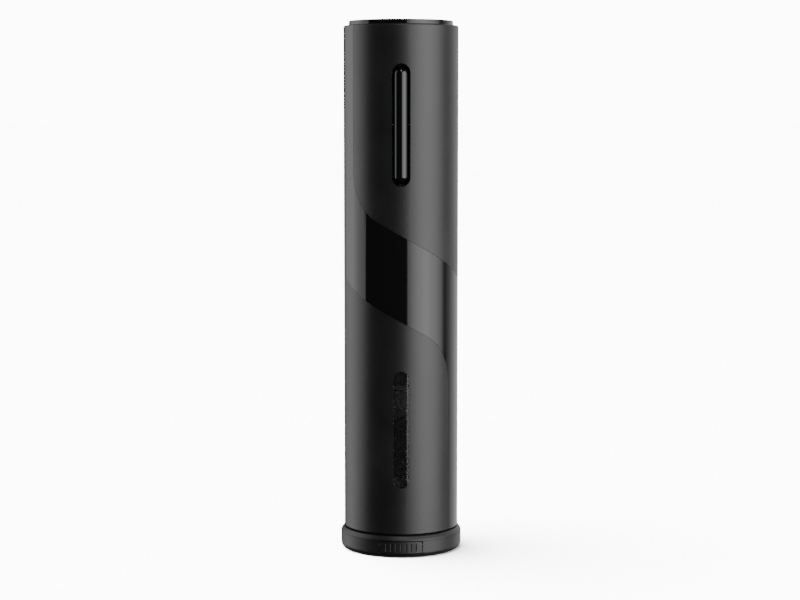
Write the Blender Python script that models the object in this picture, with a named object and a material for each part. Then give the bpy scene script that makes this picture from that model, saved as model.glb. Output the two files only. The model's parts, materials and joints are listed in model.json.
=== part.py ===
"""Battery electric wine opener, standing on its foil cutter.

The opener is a slim upright cylinder.  From the floor up it is made of a foil cutter, the bore that
goes over a bottle's neck, the cork chamber with the turning worm, a two-stage planetary gearbox, a
small motor, four AA cells and a pull-off cap.  Two satin shells and one glossy band wrap the inner
tube, and a clear window and a rocker button lie one above the other on the front.

Frame: metres, +Z up, front towards -Y, the origin on the floor on the cylinder's axis.
Angles round the axis are measured from the front, positive towards +X.
"""

import math

import bmesh
import bpy
from mathutils import Matrix, Vector

MM = 0.001

# ---------------------------------------------------------------- driving dimensions
GAP = 0.30 * MM                      # between pieces that touch

# Outer skin and inner tube
BODY_RADIUS = 24.5 * MM
SHELL_WALL = 0.9 * MM
TUBE_WALL = 0.8 * MM
CUTTER_HEIGHT = 9.3 * MM             # height of the foil cutter's shoulder
BODY_GROOVE = 0.5 * MM               # shadow line between cutter and body
BODY_LENGTH = 214.5 * MM
CAP_RISE = 2.0 * MM                  # the cap stands this much above the body

# Seams between the satin shells and the glossy band
SEAM_EDGE_ANGLE = 55.0               # degrees from the front to the straight seams
SEAM_SLOPE = 0.548                   # fall of the seam across the front, height over arc
SEAM_BAND = 36.2 * MM                # height of the band on the front's centre line
SEAM_CORNER = 25.0 * MM              # corner radius between straight and sloping seam
SEAM_TIP = 12.0 * MM                 # radius of each shell's tongue at the side
SEAM_CENTRE = 108.4 * MM             # height of the band's centre above the body's foot

# Rocker button
BUTTON_WIDTH = 6.3 * MM
BUTTON_LENGTH = 48.3 * MM
BUTTON_FROM_TOP = 42.0 * MM          # from the body's top down to the button's middle
BUTTON_SIDE_GAP = 0.75 * MM
BUTTON_END_GAP = 1.35 * MM
BUTTON_PROUD = 1.4 * MM
BUTTON_BACK = 0.5 * MM
ROCK_LIMIT = 2.0                     # degrees each way
PIVOT_DEPTH = 4.6 * MM               # the pivot pin behind the body's surface
PIVOT_RADIUS = 0.8 * MM
SWITCH_SPACING = 34.0 * MM
SWITCH_SIZE = 6.0 * MM
SWITCH_HEIGHT = 2.2 * MM
SWITCH_PLUNGER = 1.2 * MM
BOARD_WIDTH = 9.0 * MM
BOARD_LENGTH = 44.6 * MM
BOARD_THICKNESS = 0.8 * MM
BRACKET_HEIGHT = 6.0 * MM
BRACKET_LUG = 1.5 * MM
BRACKET_STRIP = 0.6 * MM
WEB_WALL = 0.5 * MM                  # rocker's web behind its pivot hole

# Window
LENS_WIDTH = 6.2 * MM
LENS_LENGTH = 49.4 * MM
LENS_FOOT = 19.9 * MM                # from the body's foot up to the lens
LENS_RECESS = 0.1 * MM
LENS_FLANGE = 1.6 * MM               # how far the flange reaches past the lens
LENS_FLANGE_WALL = 1.0 * MM

# Bottle neck bore, seat and cork chamber
NECK_BORE = 31.5 * MM
NECK_WALL = 1.5 * MM
NECK_DEPTH = 53.3 * MM               # from the body's foot up to the seat
SIGHT_SLOT_WIDTH = 6.4 * MM
SIGHT_SLOT_MARGIN = 3.0 * MM
FLANGE_THICKNESS = 2.0 * MM
SEAT_HEIGHT = 7.7 * MM
SEAT_CHAMFER = 1.2 * MM
SEAT_STEP = 0.8 * MM                 # the face for the lip stands proud of the neck bore's end
SEAT_LEDGE = 3.25 * MM               # how much narrower the chamber is than the neck bore
CHAMBER_WALL = 1.5 * MM
CHAMBER_HEIGHT = 45.6 * MM
RIB_COUNT = 4
RIB_HEIGHT = 0.8 * MM
RIB_WIDTH = 1.2 * MM

# Worm
WORM_OUTER = 9.2 * MM
WORM_WIRE = 2.8 * MM
WORM_PITCH = 9.5 * MM
WORM_TIP_ABOVE_FOOT = 10.0 * MM
WORM_SHANK = 6.0 * MM
CHUCK_RADIUS = 6.5 * MM
CHUCK_LENGTH = 8.4 * MM

# Planetary gearbox
GEAR_MODULE = 0.85 * MM
SUN_TEETH = 9
PLANET_TEETH = 15
RING_TEETH = SUN_TEETH + 2 * PLANET_TEETH
PLANETS = 3
GEAR_FACE = 5.0 * MM
GEAR_PLATE = 2.0 * MM
PLANET_PIN_RADIUS = 1.6 * MM
CARRIER_MARGIN = 0.6 * MM            # from the carrier's rim to the ring gear's tooth tips
OUTPUT_SHAFT_RADIUS = 2.5 * MM
BEARING_WALL = 2.2 * MM
SCREW_COUNT = 2
SCREW_RADIUS = 1.0 * MM
SCREW_HEAD_RADIUS = 1.9 * MM
SCREW_HEAD = 1.4 * MM
SCREW_BITE = 1.0 * MM                # how far the screws reach into the gearbox cover

# Motor
MOTOR_RADIUS = 12.2 * MM
MOTOR_LENGTH = 24.7 * MM
MOTOR_WALL = 0.9 * MM
MOTOR_COLLAR = 4.0 * MM
END_CAP_THICKNESS = 1.9 * MM
TERMINAL_HEIGHT = 2.0 * MM
TERMINAL_WIDTH = 2.4 * MM
TERMINAL_THICKNESS = 0.8 * MM
TERMINAL_ROOT = 0.5 * MM             # how deep a terminal sits in the end cap
MOTOR_SHAFT_RADIUS = 1.15 * MM
MAGNET_WALL = 1.5 * MM
MAGNET_FROM_END = 2.0 * MM
MAGNET_OVERLAP = 1.0 * MM            # how far the magnets reach past the armature at each end
ARMATURE_LENGTH = 13.0 * MM
SLEEVE_WALL = 1.1 * MM
SLEEVE_NOTCH_SIDE = 2.5 * MM         # from the switch board out to the sleeve's notch
SLEEVE_NOTCH_END = 2.0 * MM          # from the button's end down to the notch's foot

# Cells
CELL_RADIUS = 7.25 * MM
CELL_LENGTH = 50.5 * MM
CELL_WEB = 0.6 * MM                  # web between two cells' bores
HOLDER_WALL = 0.8 * MM               # between the front bores and the switch board
CELL_NUB_RADIUS = 2.7 * MM
CELL_NUB = 1.0 * MM
CONTACT_THICKNESS = 0.4 * MM
CONTACT_RADIUS = 5.0 * MM
BASE_PLATE = 1.5 * MM
CAP_PLATE = 4.0 * MM
CAP_SKIRT_WALL = 1.2 * MM
CAP_SKIRT = 3.5 * MM
CAP_DISH = 0.3 * MM

# Foil cutter
CUTTER_LIP = 1.5 * MM                # how far the foil cutter reaches past the body
CUTTER_HOLE = 31.2 * MM
CUTTER_FLOOR = 1.6 * MM
CUTTER_WALL = 1.7 * MM
CUTTER_SIDE_TOP = 7.6 * MM           # where the vertical side ends and the shoulder starts
CUTTER_SEAM = 7.0 * MM               # height of the joint between base and cover
CUTTER_FOOT_FILLET = 2.3 * MM
SHOULDER_INSET = 1.25 * MM
TONGUE_HEIGHT = 2.8 * MM
TONGUE_WALL = 1.2 * MM
JAW_HALF_ANGLE = 72.0                # degrees each way from the middle of a jaw
JAW_SETBACK = 2.6 * MM               # from the hole's rim out to the open jaws
JAW_PLATE = 1.5 * MM
PAD_WIDTH = 18.0 * MM
WHEEL_RADIUS = 3.6 * MM
WHEEL_ANGLE = 38.0
WHEEL_SETBACK = 0.2 * MM             # from the jaw's outer edge in to the wheels' rims
WHEEL_THICKNESS = 1.2 * MM
WHEEL_POST = 1.0 * MM
JAW_SPRING_RADIUS = 1.6 * MM
JAW_SPRING_WIRE = 0.5 * MM
JAW_SPRING_TURNS = 5

# Facets
ROUND_STEPS = 48                     # round the body
INNER_STEPS = 24                     # round the large inner pieces
SMALL_STEPS = 16                     # round the small inner pieces
PIN_STEPS = 10                       # round pins and screws
WORM_STEPS = 11                      # along each turn of the worm

# ---------------------------------------------------------------- sizes that follow
CUTTER_RADIUS = BODY_RADIUS + CUTTER_LIP
SHELL_INNER = BODY_RADIUS - SHELL_WALL
TUBE_OUTER = SHELL_INNER - GAP
TUBE_INNER = TUBE_OUTER - TUBE_WALL
FIT_RADIUS = TUBE_INNER - GAP        # what slides into the inner tube
BODY_FOOT = CUTTER_HEIGHT + BODY_GROOVE
BODY_TOP = BODY_FOOT + BODY_LENGTH
CAP_TOP = BODY_TOP + CAP_RISE
FRONT_FLANGE_RADIUS = TUBE_INNER - GAP - LENS_FLANGE_WALL - GAP

BUTTON_Z = BODY_TOP - BUTTON_FROM_TOP
BUTTON_RADIUS = BUTTON_WIDTH / 2
BUTTON_AXIS_Y = -(BODY_RADIUS + BUTTON_PROUD - BUTTON_RADIUS)
BUTTON_BACK_Y = BUTTON_AXIS_Y + BUTTON_BACK
PIVOT_Y = -(BODY_RADIUS - PIVOT_DEPTH)
LENS_Z = BODY_FOOT + LENS_FOOT + LENS_LENGTH / 2

NECK_RADIUS = NECK_BORE / 2
NECK_FLANGE_Z = BODY_FOOT + TONGUE_HEIGHT
SEAT_Z = BODY_FOOT + NECK_DEPTH
CHAMBER_Z = SEAT_Z + SEAT_HEIGHT + GAP
CHAMBER_TOP = CHAMBER_Z + CHAMBER_HEIGHT
CHAMBER_RADIUS = NECK_RADIUS - SEAT_LEDGE

FLOOR_Z = CHAMBER_TOP + GAP
CARRIER_2_Z = FLOOR_Z + GEAR_PLATE + GAP
PLANET_2_Z = CARRIER_2_Z + GEAR_PLATE + GAP
CARRIER_1_Z = PLANET_2_Z + GEAR_FACE + GAP
PLANET_1_Z = CARRIER_1_Z + GEAR_PLATE + GAP
COVER_Z = PLANET_1_Z + GEAR_FACE + GAP
MOTOR_Z = COVER_Z + GEAR_PLATE + GAP
MOTOR_TOP = MOTOR_Z + MOTOR_LENGTH
END_CAP_TOP = MOTOR_TOP + GAP + END_CAP_THICKNESS
PLANET_ORBIT = GEAR_MODULE * (SUN_TEETH + PLANET_TEETH) / 2
RING_TIP = GEAR_MODULE * (RING_TEETH / 2 - 0.8)
RING_ROOT = GEAR_MODULE * (RING_TEETH / 2 + 1.25)
SCREW_ORBIT = (RING_ROOT + FIT_RADIUS) / 2
WORM_TOP = CHAMBER_TOP - CHUCK_LENGTH
SHAFT_END = (WORM_TOP + CHAMBER_TOP) / 2

CELL_TOP = CAP_TOP - CAP_PLATE - GAP - CONTACT_THICKNESS - GAP
CELL_Z = CELL_TOP - CELL_LENGTH
CONTACT_Z = CELL_Z - GAP - CONTACT_THICKNESS
BASE_PLATE_Z = CONTACT_Z - GAP - BASE_PLATE
HOLDER_TOP = CAP_TOP - CAP_PLATE - CAP_SKIRT - GAP
CELL_BORE = CELL_RADIUS + GAP
CELL_OFFSET = CELL_BORE + CELL_WEB / 2
HOLDER_FRONT_Y = -(CELL_OFFSET + CELL_BORE + HOLDER_WALL)
BOARD_Y = HOLDER_FRONT_Y - GAP - BOARD_THICKNESS
PLUNGER_TIP_Y = BUTTON_BACK_Y + math.tan(math.radians(ROCK_LIMIT)) * SWITCH_SPACING / 2 + GAP / 3

HOLE_RADIUS = CUTTER_HOLE / 2
JAW_Z = CUTTER_FLOOR + GAP
JAW_TOP = CUTTER_SEAM - GAP / 2
JAW_OUTER = CUTTER_RADIUS - CUTTER_WALL - GAP
JAW_INNER = HOLE_RADIUS + JAW_SETBACK
WHEEL_ORBIT = JAW_OUTER - WHEEL_RADIUS - WHEEL_SETBACK
WHEEL_Z = JAW_Z + JAW_PLATE + GAP

CENTRE = Vector((0.0, 0.0, 0.0))


# ---------------------------------------------------------------- scene and materials
def clear_scene():
    """Remove every object that is already in the file."""
    for item in list(bpy.data.objects):
        bpy.data.objects.remove(item, do_unlink=True)


def make_material(name, colour, roughness, metallic=0.0, alpha=1.0):
    """A Principled material from an sRGB-like grey or colour."""
    material = bpy.data.materials.new(name)
    material.use_nodes = True
    shader = material.node_tree.nodes["Principled BSDF"]
    shader.inputs["Base Color"].default_value = (*colour, 1.0)
    shader.inputs["Roughness"].default_value = roughness
    shader.inputs["Metallic"].default_value = metallic
    shader.inputs["Alpha"].default_value = alpha
    material.diffuse_color = (*colour, alpha)
    return material


def palette():
    """The materials of the whole opener, by name."""
    return {
        "satin_black": make_material("satin_black", (0.030, 0.030, 0.032), 0.45),
        "gloss_black": make_material("gloss_black", (0.012, 0.012, 0.014), 0.10),
        "inner_black": make_material("inner_black", (0.020, 0.020, 0.021), 0.50),
        "clear": make_material("clear", (0.75, 0.78, 0.80), 0.05, alpha=0.35),
        "white_plastic": make_material("white_plastic", (0.70, 0.70, 0.67), 0.45),
        "steel": make_material("steel", (0.58, 0.58, 0.60), 0.30, 1.0),
        "worm_steel": make_material("worm_steel", (0.33, 0.33, 0.35), 0.22, 1.0),
        "zinc": make_material("zinc", (0.62, 0.64, 0.66), 0.35, 1.0),
        "brass": make_material("brass", (0.70, 0.52, 0.22), 0.35, 1.0),
        "board_green": make_material("board_green", (0.03, 0.16, 0.07), 0.40),
        "cell_wrap": make_material("cell_wrap", (0.10, 0.14, 0.22), 0.30),
        "magnet": make_material("magnet", (0.10, 0.10, 0.10), 0.55),
    }


# ---------------------------------------------------------------- object helpers
def add_piece(name, bm, material, origin=CENTRE, parent=None):
    """Turn a bmesh made in world space into an object whose origin is at origin."""
    bmesh.ops.recalc_face_normals(bm, faces=bm.faces)
    bmesh.ops.translate(bm, vec=-Vector(origin), verts=bm.verts)
    mesh = bpy.data.meshes.new(name)
    bm.to_mesh(mesh)
    bm.free()
    mesh.materials.append(material)
    mesh.shade_smooth()
    mesh.set_sharp_from_angle(angle=math.radians(35.0))
    piece = bpy.data.objects.new(name, mesh)
    bpy.context.collection.objects.link(piece)
    place(piece, origin, parent)
    return piece


def place(piece, origin, parent):
    """Put a piece's origin at a world position, under its parent when it has one."""
    piece.parent = parent
    piece.location = Vector(origin) - (parent_origin(parent) if parent else CENTRE)


def parent_origin(parent):
    """World position of a parent empty; parents are never turned."""
    position = Vector(parent.location)
    while parent.parent:
        parent = parent.parent
        position += Vector(parent.location)
    return position


def add_axis(name, origin, parent=None):
    """An empty on a joint's axis, which carries the pieces that move on it."""
    empty = bpy.data.objects.new(name, None)
    empty.empty_display_size = 5 * MM
    bpy.context.collection.objects.link(empty)
    place(empty, origin, parent)
    return empty


def combine(piece, bm, operation, material):
    """Join a second solid to a piece, or cut it out, with an exact Boolean."""
    index = len(piece.modifiers)
    cutter = add_piece(f"{piece.name}_{operation.lower()}_{index}", bm, material)
    cutter.parent = piece
    cutter.location = -world_origin(piece)
    cutter.hide_render = True
    cutter.display_type = "WIRE"
    modifier = piece.modifiers.new(f"{operation.lower()}_{index}", "BOOLEAN")
    modifier.operation = operation
    modifier.solver = "EXACT"
    modifier.object = cutter


def world_origin(piece):
    """World position of a piece's origin."""
    position = Vector(piece.location)
    if piece.parent:
        position += parent_origin(piece.parent)
    return position


# ---------------------------------------------------------------- outlines
def circle(radius, steps, centre=(0.0, 0.0), start=0.0):
    """Points of a circle in a plane, anticlockwise."""
    points = []
    for index in range(steps):
        angle = start + 2 * math.pi * index / steps
        points.append((centre[0] + radius * math.cos(angle), centre[1] + radius * math.sin(angle)))
    return points


def arc(radius, start_degrees, end_degrees, steps, centre=(0.0, 0.0)):
    """Points along an arc, both ends included; angles run from +X, anticlockwise."""
    points = []
    for index in range(steps + 1):
        angle = math.radians(start_degrees + (end_degrees - start_degrees) * index / steps)
        points.append((centre[0] + radius * math.cos(angle), centre[1] + radius * math.sin(angle)))
    return points


def pill(width, length, centre=(0.0, 0.0), steps=6):
    """A slot outline with half-round ends, its long side along the second axis."""
    radius = width / 2
    reach = length / 2 - radius
    upper = arc(radius, 0.0, 180.0, steps, (centre[0], centre[1] + reach))
    lower = arc(radius, 180.0, 360.0, steps, (centre[0], centre[1] - reach))
    return upper + lower


def rounded(corners, radii, steps=6):
    """An open line through the corners, each inner corner replaced by an arc."""
    points = [Vector(corners[0])]
    for before, corner, after, radius in zip(corners, corners[1:], corners[2:], radii):
        corner = Vector(corner)
        to_before = (Vector(before) - corner).normalized()
        to_after = (Vector(after) - corner).normalized()
        half = to_before.angle(to_after) / 2
        centre = corner + (to_before + to_after).normalized() * radius / math.sin(half)
        first = corner + to_before * radius / math.tan(half) - centre
        last = corner + to_after * radius / math.tan(half) - centre
        for index in range(steps + 1):
            step = first.lerp(last, index / steps)
            points.append(centre + step.normalized() * radius)
    points.append(Vector(corners[-1]))
    return points


def offset(points, distance):
    """Move an open line sideways, to the left of its direction for a positive distance."""
    moved = []
    for index, point in enumerate(points):
        before = points[max(index - 1, 0)]
        after = points[min(index + 1, len(points) - 1)]
        along = (after - before).normalized()
        moved.append(point + Vector((-along.y, along.x)) * distance)
    return moved


def gear_outline(teeth, inner, phase=0.0):
    """Outline of a spur gear, or of an internal gear's teeth, with straight flanks."""
    pitch_radius = GEAR_MODULE * teeth / 2
    addendum, dedendum = 0.8 * GEAR_MODULE, 1.25 * GEAR_MODULE
    if inner:
        tip, root = pitch_radius - addendum, pitch_radius + dedendum
    else:
        tip, root = pitch_radius + addendum, pitch_radius - dedendum
    tip_half, root_half = 0.105, 0.27
    points = []
    for index in range(teeth):
        for share, radius in ((-root_half, root), (-tip_half, tip), (tip_half, tip), (root_half, root)):
            angle = phase + 2 * math.pi * (index + share) / teeth
            points.append((radius * math.cos(angle), radius * math.sin(angle)))
    return points


# ---------------------------------------------------------------- solids
def add_loop(bm, points, height):
    """A closed loop of edges at a height; returns its edges."""
    verts = [bm.verts.new((point[0], point[1], height)) for point in points]
    return [bm.edges.new((verts[index - 1], verts[index])) for index in range(len(verts))]


def extruded(outline, low, high, holes=()):
    """A plate between two heights, from an outline in X and Y and its holes."""
    bm = bmesh.new()
    edges = add_loop(bm, outline, low)
    for hole in holes:
        edges += add_loop(bm, hole, low)
    bmesh.ops.triangle_fill(bm, edges=edges, use_beauty=True)
    grown = bmesh.ops.extrude_face_region(bm, geom=bm.faces[:])
    verts = [item for item in grown["geom"] if isinstance(item, bmesh.types.BMVert)]
    bmesh.ops.translate(bm, vec=(0.0, 0.0, high - low), verts=verts)
    return bm


def box(low, high):
    """An upright block between two corners."""
    outline = [(low[0], low[1]), (high[0], low[1]), (high[0], high[1]), (low[0], high[1])]
    return extruded(outline, low[2], high[2])


def lying(outline, low_y, high_y):
    """A plate along Y, from an outline in X and Z."""
    bm = extruded(outline, -high_y, -low_y)
    bmesh.ops.rotate(bm, cent=CENTRE, matrix=Matrix.Rotation(math.radians(90.0), 3, "X"), verts=bm.verts)
    return bm


def turned(profile, steps, centre=(0.0, 0.0)):
    """A solid of revolution about an upright axis, from a closed profile of radius and height."""
    bm = bmesh.new()
    verts = [bm.verts.new((radius, 0.0, height)) for radius, height in profile]
    on_axis = [index for index, point in enumerate(profile) if point[0] == 0.0]
    edges = []
    for index in range(len(verts)):
        if index in on_axis and (index - 1) % len(verts) in on_axis:
            continue
        edges.append(bm.edges.new((verts[index - 1], verts[index])))
    bmesh.ops.spin(bm, geom=verts + edges, cent=CENTRE, axis=(0.0, 0.0, 1.0), dvec=CENTRE,
                   angle=2 * math.pi, steps=steps, use_merge=True, use_duplicate=False)
    bmesh.ops.remove_doubles(bm, verts=bm.verts, dist=1e-7)
    bmesh.ops.translate(bm, vec=(centre[0], centre[1], 0.0), verts=bm.verts)
    return bm


def tube_profile(inner, outer, low, high):
    """Profile of a plain tube."""
    return [(outer, high), (outer, low), (inner, low), (inner, high)]


def rod_profile(radius, low, high):
    """Profile of a plain rod on the axis."""
    return [(0.0, high), (radius, high), (radius, low), (0.0, low)]


def within_column(edge, column):
    """True for an inner edge that doesn't run along a bend line of a curved plate."""
    if edge.is_boundary:
        return False
    ends = [vert.co.x / BODY_RADIUS / column for vert in edge.verts]
    on_line = abs(ends[0] - round(ends[0])) < 1e-4 and abs(ends[0] - ends[1]) < 1e-4
    return not on_line


def wrapped(outline, inner, outer, holes=()):
    """A curved plate: an outline of arc length and height, bent round the body's axis.

    Arc lengths are measured on the body's outer surface, so all the shells line up.
    """
    bm = bmesh.new()
    edges = add_loop(bm, outline, 0.0)
    for hole in holes:
        edges += add_loop(bm, hole, 0.0)
    bmesh.ops.triangle_fill(bm, edges=edges, use_beauty=True)
    column = 2 * math.pi / ROUND_STEPS
    first = math.floor(min(point[0] for point in outline) / BODY_RADIUS / column)
    last = math.ceil(max(point[0] for point in outline) / BODY_RADIUS / column)
    for index in range(first, last + 1):
        everything = bm.verts[:] + bm.edges[:] + bm.faces[:]
        bmesh.ops.bisect_plane(bm, geom=everything, dist=1e-7, plane_no=(1.0, 0.0, 0.0),
                               plane_co=(index * column * BODY_RADIUS, 0.0, 0.0))
    bmesh.ops.dissolve_edges(bm, edges=[edge for edge in bm.edges if within_column(edge, column)],
                             use_verts=False)
    loose = [vert for vert in bm.verts if len(vert.link_edges) == 2 and not vert.is_boundary]
    bmesh.ops.dissolve_verts(bm, verts=loose)
    for vert in bm.verts:
        angle = vert.co.x / BODY_RADIUS
        vert.co = Vector((inner * math.sin(angle), -inner * math.cos(angle), vert.co.y))
    bmesh.ops.remove_doubles(bm, verts=bm.verts, dist=1e-7)
    grown = bmesh.ops.extrude_face_region(bm, geom=bm.faces[:])
    for item in grown["geom"]:
        if isinstance(item, bmesh.types.BMVert):
            item.co.x *= outer / inner
            item.co.y *= outer / inner
    return bm


def add_wire(name, path, radius, material, origin, parent, taper=None, sides=1):
    """A bent wire as a curve with filled ends; taper gives the radius share along the path."""
    curve = bpy.data.curves.new(name, "CURVE")
    curve.dimensions = "3D"
    curve.bevel_depth = radius
    curve.bevel_resolution = sides
    curve.use_fill_caps = True
    spline = curve.splines.new("POLY")
    spline.points.add(len(path) - 1)
    for index, point in enumerate(path):
        spline.points[index].co = (*(Vector(point) - Vector(origin)), 1.0)
        spline.points[index].radius = taper(index / (len(path) - 1)) if taper else 1.0
    curve.materials.append(material)
    piece = bpy.data.objects.new(name, curve)
    bpy.context.collection.objects.link(piece)
    place(piece, origin, parent)
    return piece


# ---------------------------------------------------------------- outer skin
def arc_length(degrees):
    """Arc length on the body's surface at an angle from the front."""
    return math.radians(degrees) * BODY_RADIUS


def upper_seam(inset):
    """The upper shell's edge: down one straight seam, along the tongue and up the other.

    The line is moved into the shell by inset, or into the band by a negative one.
    """
    left, middle = arc_length(-SEAM_EDGE_ANGLE), arc_length(90.0)
    right = 2 * middle - left
    centre = BODY_FOOT + SEAM_CENTRE
    corner = centre + SEAM_BAND / 2 - SEAM_SLOPE * left
    tip = centre + SEAM_BAND / 2 - SEAM_SLOPE * middle
    line = rounded([(left, BODY_TOP), (left, corner), (middle, tip), (right, corner), (right, BODY_TOP)],
                   [SEAM_CORNER, SEAM_TIP, SEAM_CORNER])
    return offset(line, inset)


def turned_over(line):
    """A seam turned half round the middle of the band's front, which gives the lower one.

    The seam's straight ends reach the body's foot, wherever the band's middle is.
    """
    centre = BODY_FOOT + SEAM_CENTRE
    over = [Vector((-point.x, 2 * centre - point.y)) for point in line]
    over[0].y = BODY_FOOT
    over[-1].y = BODY_FOOT
    return over


def band_outline():
    """The glossy band once round the body: between the two seams, with a strip up one side
    between the upper shell's edges and a strip down the other between the lower shell's."""
    edge = upper_seam(-GAP / 2)
    tip = len(edge) // 2
    turn = Vector((arc_length(360.0), 0.0))
    top = [point - turn for point in edge[tip:]] + edge[:tip + 1]
    return top + [(top[-1].x, BODY_FOOT)] + turned_over(edge) + [(top[0].x, BODY_FOOT)]


def build_skin(colours):
    """Inner tube, the two satin shells, the glossy band and the clear lens."""
    button_slot = pill(BUTTON_WIDTH + 2 * BUTTON_SIDE_GAP, BUTTON_LENGTH + 2 * BUTTON_END_GAP,
                       (0.0, BUTTON_Z))
    lens_slot = pill(LENS_WIDTH + 2 * GAP, LENS_LENGTH + 2 * GAP, (0.0, LENS_Z))

    tube = add_piece("inner_tube",
                     turned(tube_profile(TUBE_INNER, TUBE_OUTER, BODY_FOOT, BODY_TOP), ROUND_STEPS),
                     colours["inner_black"])
    for slot in (button_slot, lens_slot):
        combine(tube, lying(slot, -BODY_RADIUS, -TUBE_INNER / 2), "DIFFERENCE", colours["inner_black"])

    upper = upper_seam(GAP / 2)
    add_piece("upper_shell", wrapped(upper, SHELL_INNER, BODY_RADIUS, [button_slot]),
              colours["satin_black"])
    add_piece("lower_shell", wrapped(turned_over(upper), SHELL_INNER, BODY_RADIUS, [lens_slot]),
              colours["satin_black"])
    add_piece("gloss_band", wrapped(band_outline(), SHELL_INNER, BODY_RADIUS), colours["gloss_black"])

    back = FRONT_FLANGE_RADIUS + GAP
    lens = add_piece("window_lens",
                     wrapped(pill(LENS_WIDTH, LENS_LENGTH, (0.0, LENS_Z)), back,
                             BODY_RADIUS - LENS_RECESS), colours["clear"])
    flange = pill(LENS_WIDTH + 2 * LENS_FLANGE, LENS_LENGTH + 2 * LENS_FLANGE, (0.0, LENS_Z))
    combine(lens, wrapped(flange, back, back + LENS_FLANGE_WALL), "UNION", colours["clear"])


# ---------------------------------------------------------------- neck bore, seat and chamber
def chamber_ribs():
    """Upright ribs in the chamber's bore that stop the cork from turning."""
    bm = bmesh.new()
    low, high = CHAMBER_RADIUS - RIB_HEIGHT, CHAMBER_RADIUS + CHAMBER_WALL / 2
    size = (high - low, RIB_WIDTH, CHAMBER_HEIGHT)
    for index in range(RIB_COUNT):
        turn = Matrix.Rotation(2 * math.pi * (index + 0.5) / RIB_COUNT, 4, "Z")
        middle = Matrix.Translation(((low + high) / 2, 0.0, CHAMBER_Z + CHAMBER_HEIGHT / 2))
        grow = Matrix.Diagonal((*size, 1.0))
        bmesh.ops.create_cube(bm, size=1.0, matrix=turn @ middle @ grow)
    return bm


def screw_places():
    """Axes of the gearbox screws."""
    return circle(SCREW_ORBIT, SCREW_COUNT, start=math.radians(90.0))


def screw_holes(low, high):
    """Cutter for the gearbox screws' clearance holes."""
    bm = bmesh.new()
    for centre in screw_places():
        bmesh.ops.create_cone(bm, cap_ends=True, segments=PIN_STEPS, radius1=SCREW_RADIUS + GAP,
                              radius2=SCREW_RADIUS + GAP, depth=high - low,
                              matrix=Matrix.Translation((*centre, (low + high) / 2)))
    return bm


def build_lower_inside(colours):
    """The bore for the bottle's neck, the seat for its lip and the chamber for the cork."""
    black = colours["inner_black"]
    neck_top = SEAT_Z - GAP
    outer = NECK_RADIUS + NECK_WALL
    profile = [(NECK_RADIUS, BODY_FOOT), (NECK_RADIUS, neck_top), (outer, neck_top),
               (outer, NECK_FLANGE_Z + FLANGE_THICKNESS), (FIT_RADIUS, NECK_FLANGE_Z + FLANGE_THICKNESS),
               (FIT_RADIUS, NECK_FLANGE_Z), (outer, NECK_FLANGE_Z), (outer, BODY_FOOT)]
    neck = add_piece("neck_guide", turned(profile, INNER_STEPS), black)
    low = BODY_FOOT + LENS_FOOT + SIGHT_SLOT_MARGIN
    high = neck_top - SIGHT_SLOT_MARGIN
    slot = pill(SIGHT_SLOT_WIDTH, high - low, (0.0, (low + high) / 2))
    combine(neck, lying(slot, -TUBE_INNER, -NECK_RADIUS / 2), "DIFFERENCE", black)

    inner = CHAMBER_RADIUS
    lip_z = SEAT_Z - SEAT_STEP
    seat = [(inner + SEAT_CHAMFER, lip_z), (inner, lip_z + SEAT_CHAMFER),
            (inner, SEAT_Z + SEAT_HEIGHT), (FRONT_FLANGE_RADIUS, SEAT_Z + SEAT_HEIGHT),
            (FRONT_FLANGE_RADIUS, SEAT_Z), (NECK_RADIUS - GAP, SEAT_Z), (NECK_RADIUS - GAP, lip_z)]
    add_piece("bottle_seat", turned(seat, INNER_STEPS), colours["gloss_black"])

    outer = CHAMBER_RADIUS + CHAMBER_WALL
    profile = [(CHAMBER_RADIUS, CHAMBER_Z), (CHAMBER_RADIUS, CHAMBER_TOP), (FIT_RADIUS, CHAMBER_TOP),
               (FIT_RADIUS, CHAMBER_TOP - FLANGE_THICKNESS), (outer, CHAMBER_TOP - FLANGE_THICKNESS),
               (outer, CHAMBER_Z + FLANGE_THICKNESS),
               (FRONT_FLANGE_RADIUS, CHAMBER_Z + FLANGE_THICKNESS), (FRONT_FLANGE_RADIUS, CHAMBER_Z)]
    chamber = add_piece("cork_chamber", turned(profile, INNER_STEPS), black)
    combine(chamber, chamber_ribs(), "UNION", black)
    combine(chamber, screw_holes(CHAMBER_TOP - 2 * FLANGE_THICKNESS, CHAMBER_TOP + GAP), "DIFFERENCE",
            black)


# ---------------------------------------------------------------- gearbox, chuck and worm
def planet_phase(angle):
    """Turn of a planet so that it meshes with the ring gear and the sun at its place."""
    return angle * (1 - RING_TEETH / PLANET_TEETH)


def build_stage(number, foot, parent, colours):
    """Three planets on their own axes, above a carrier whose plate lies below them."""
    for index in range(PLANETS):
        angle = 2 * math.pi * index / PLANETS
        centre = Vector((PLANET_ORBIT * math.cos(angle), PLANET_ORBIT * math.sin(angle), foot))
        axis = add_axis(f"planet_{number}{index + 1}_axis", centre, parent)
        outline = gear_outline(PLANET_TEETH, False, planet_phase(angle))
        bore = circle(PLANET_PIN_RADIUS + GAP, PIN_STEPS)
        bm = extruded(outline, foot, foot + GEAR_FACE, [bore])
        bmesh.ops.translate(bm, vec=(centre.x, centre.y, 0.0), verts=bm.verts)
        add_piece(f"planet_{number}{'abc'[index]}", bm, colours["white_plastic"], centre, axis)


def planet_pins(piece, foot, low, material):
    """Raise the planets' pins on a carrier."""
    for index in range(PLANETS):
        centre = circle(PLANET_ORBIT, PLANETS)[index]
        combine(piece, extruded(circle(PLANET_PIN_RADIUS, PIN_STEPS, centre), low, foot + GEAR_FACE),
                "UNION", material)


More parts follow.
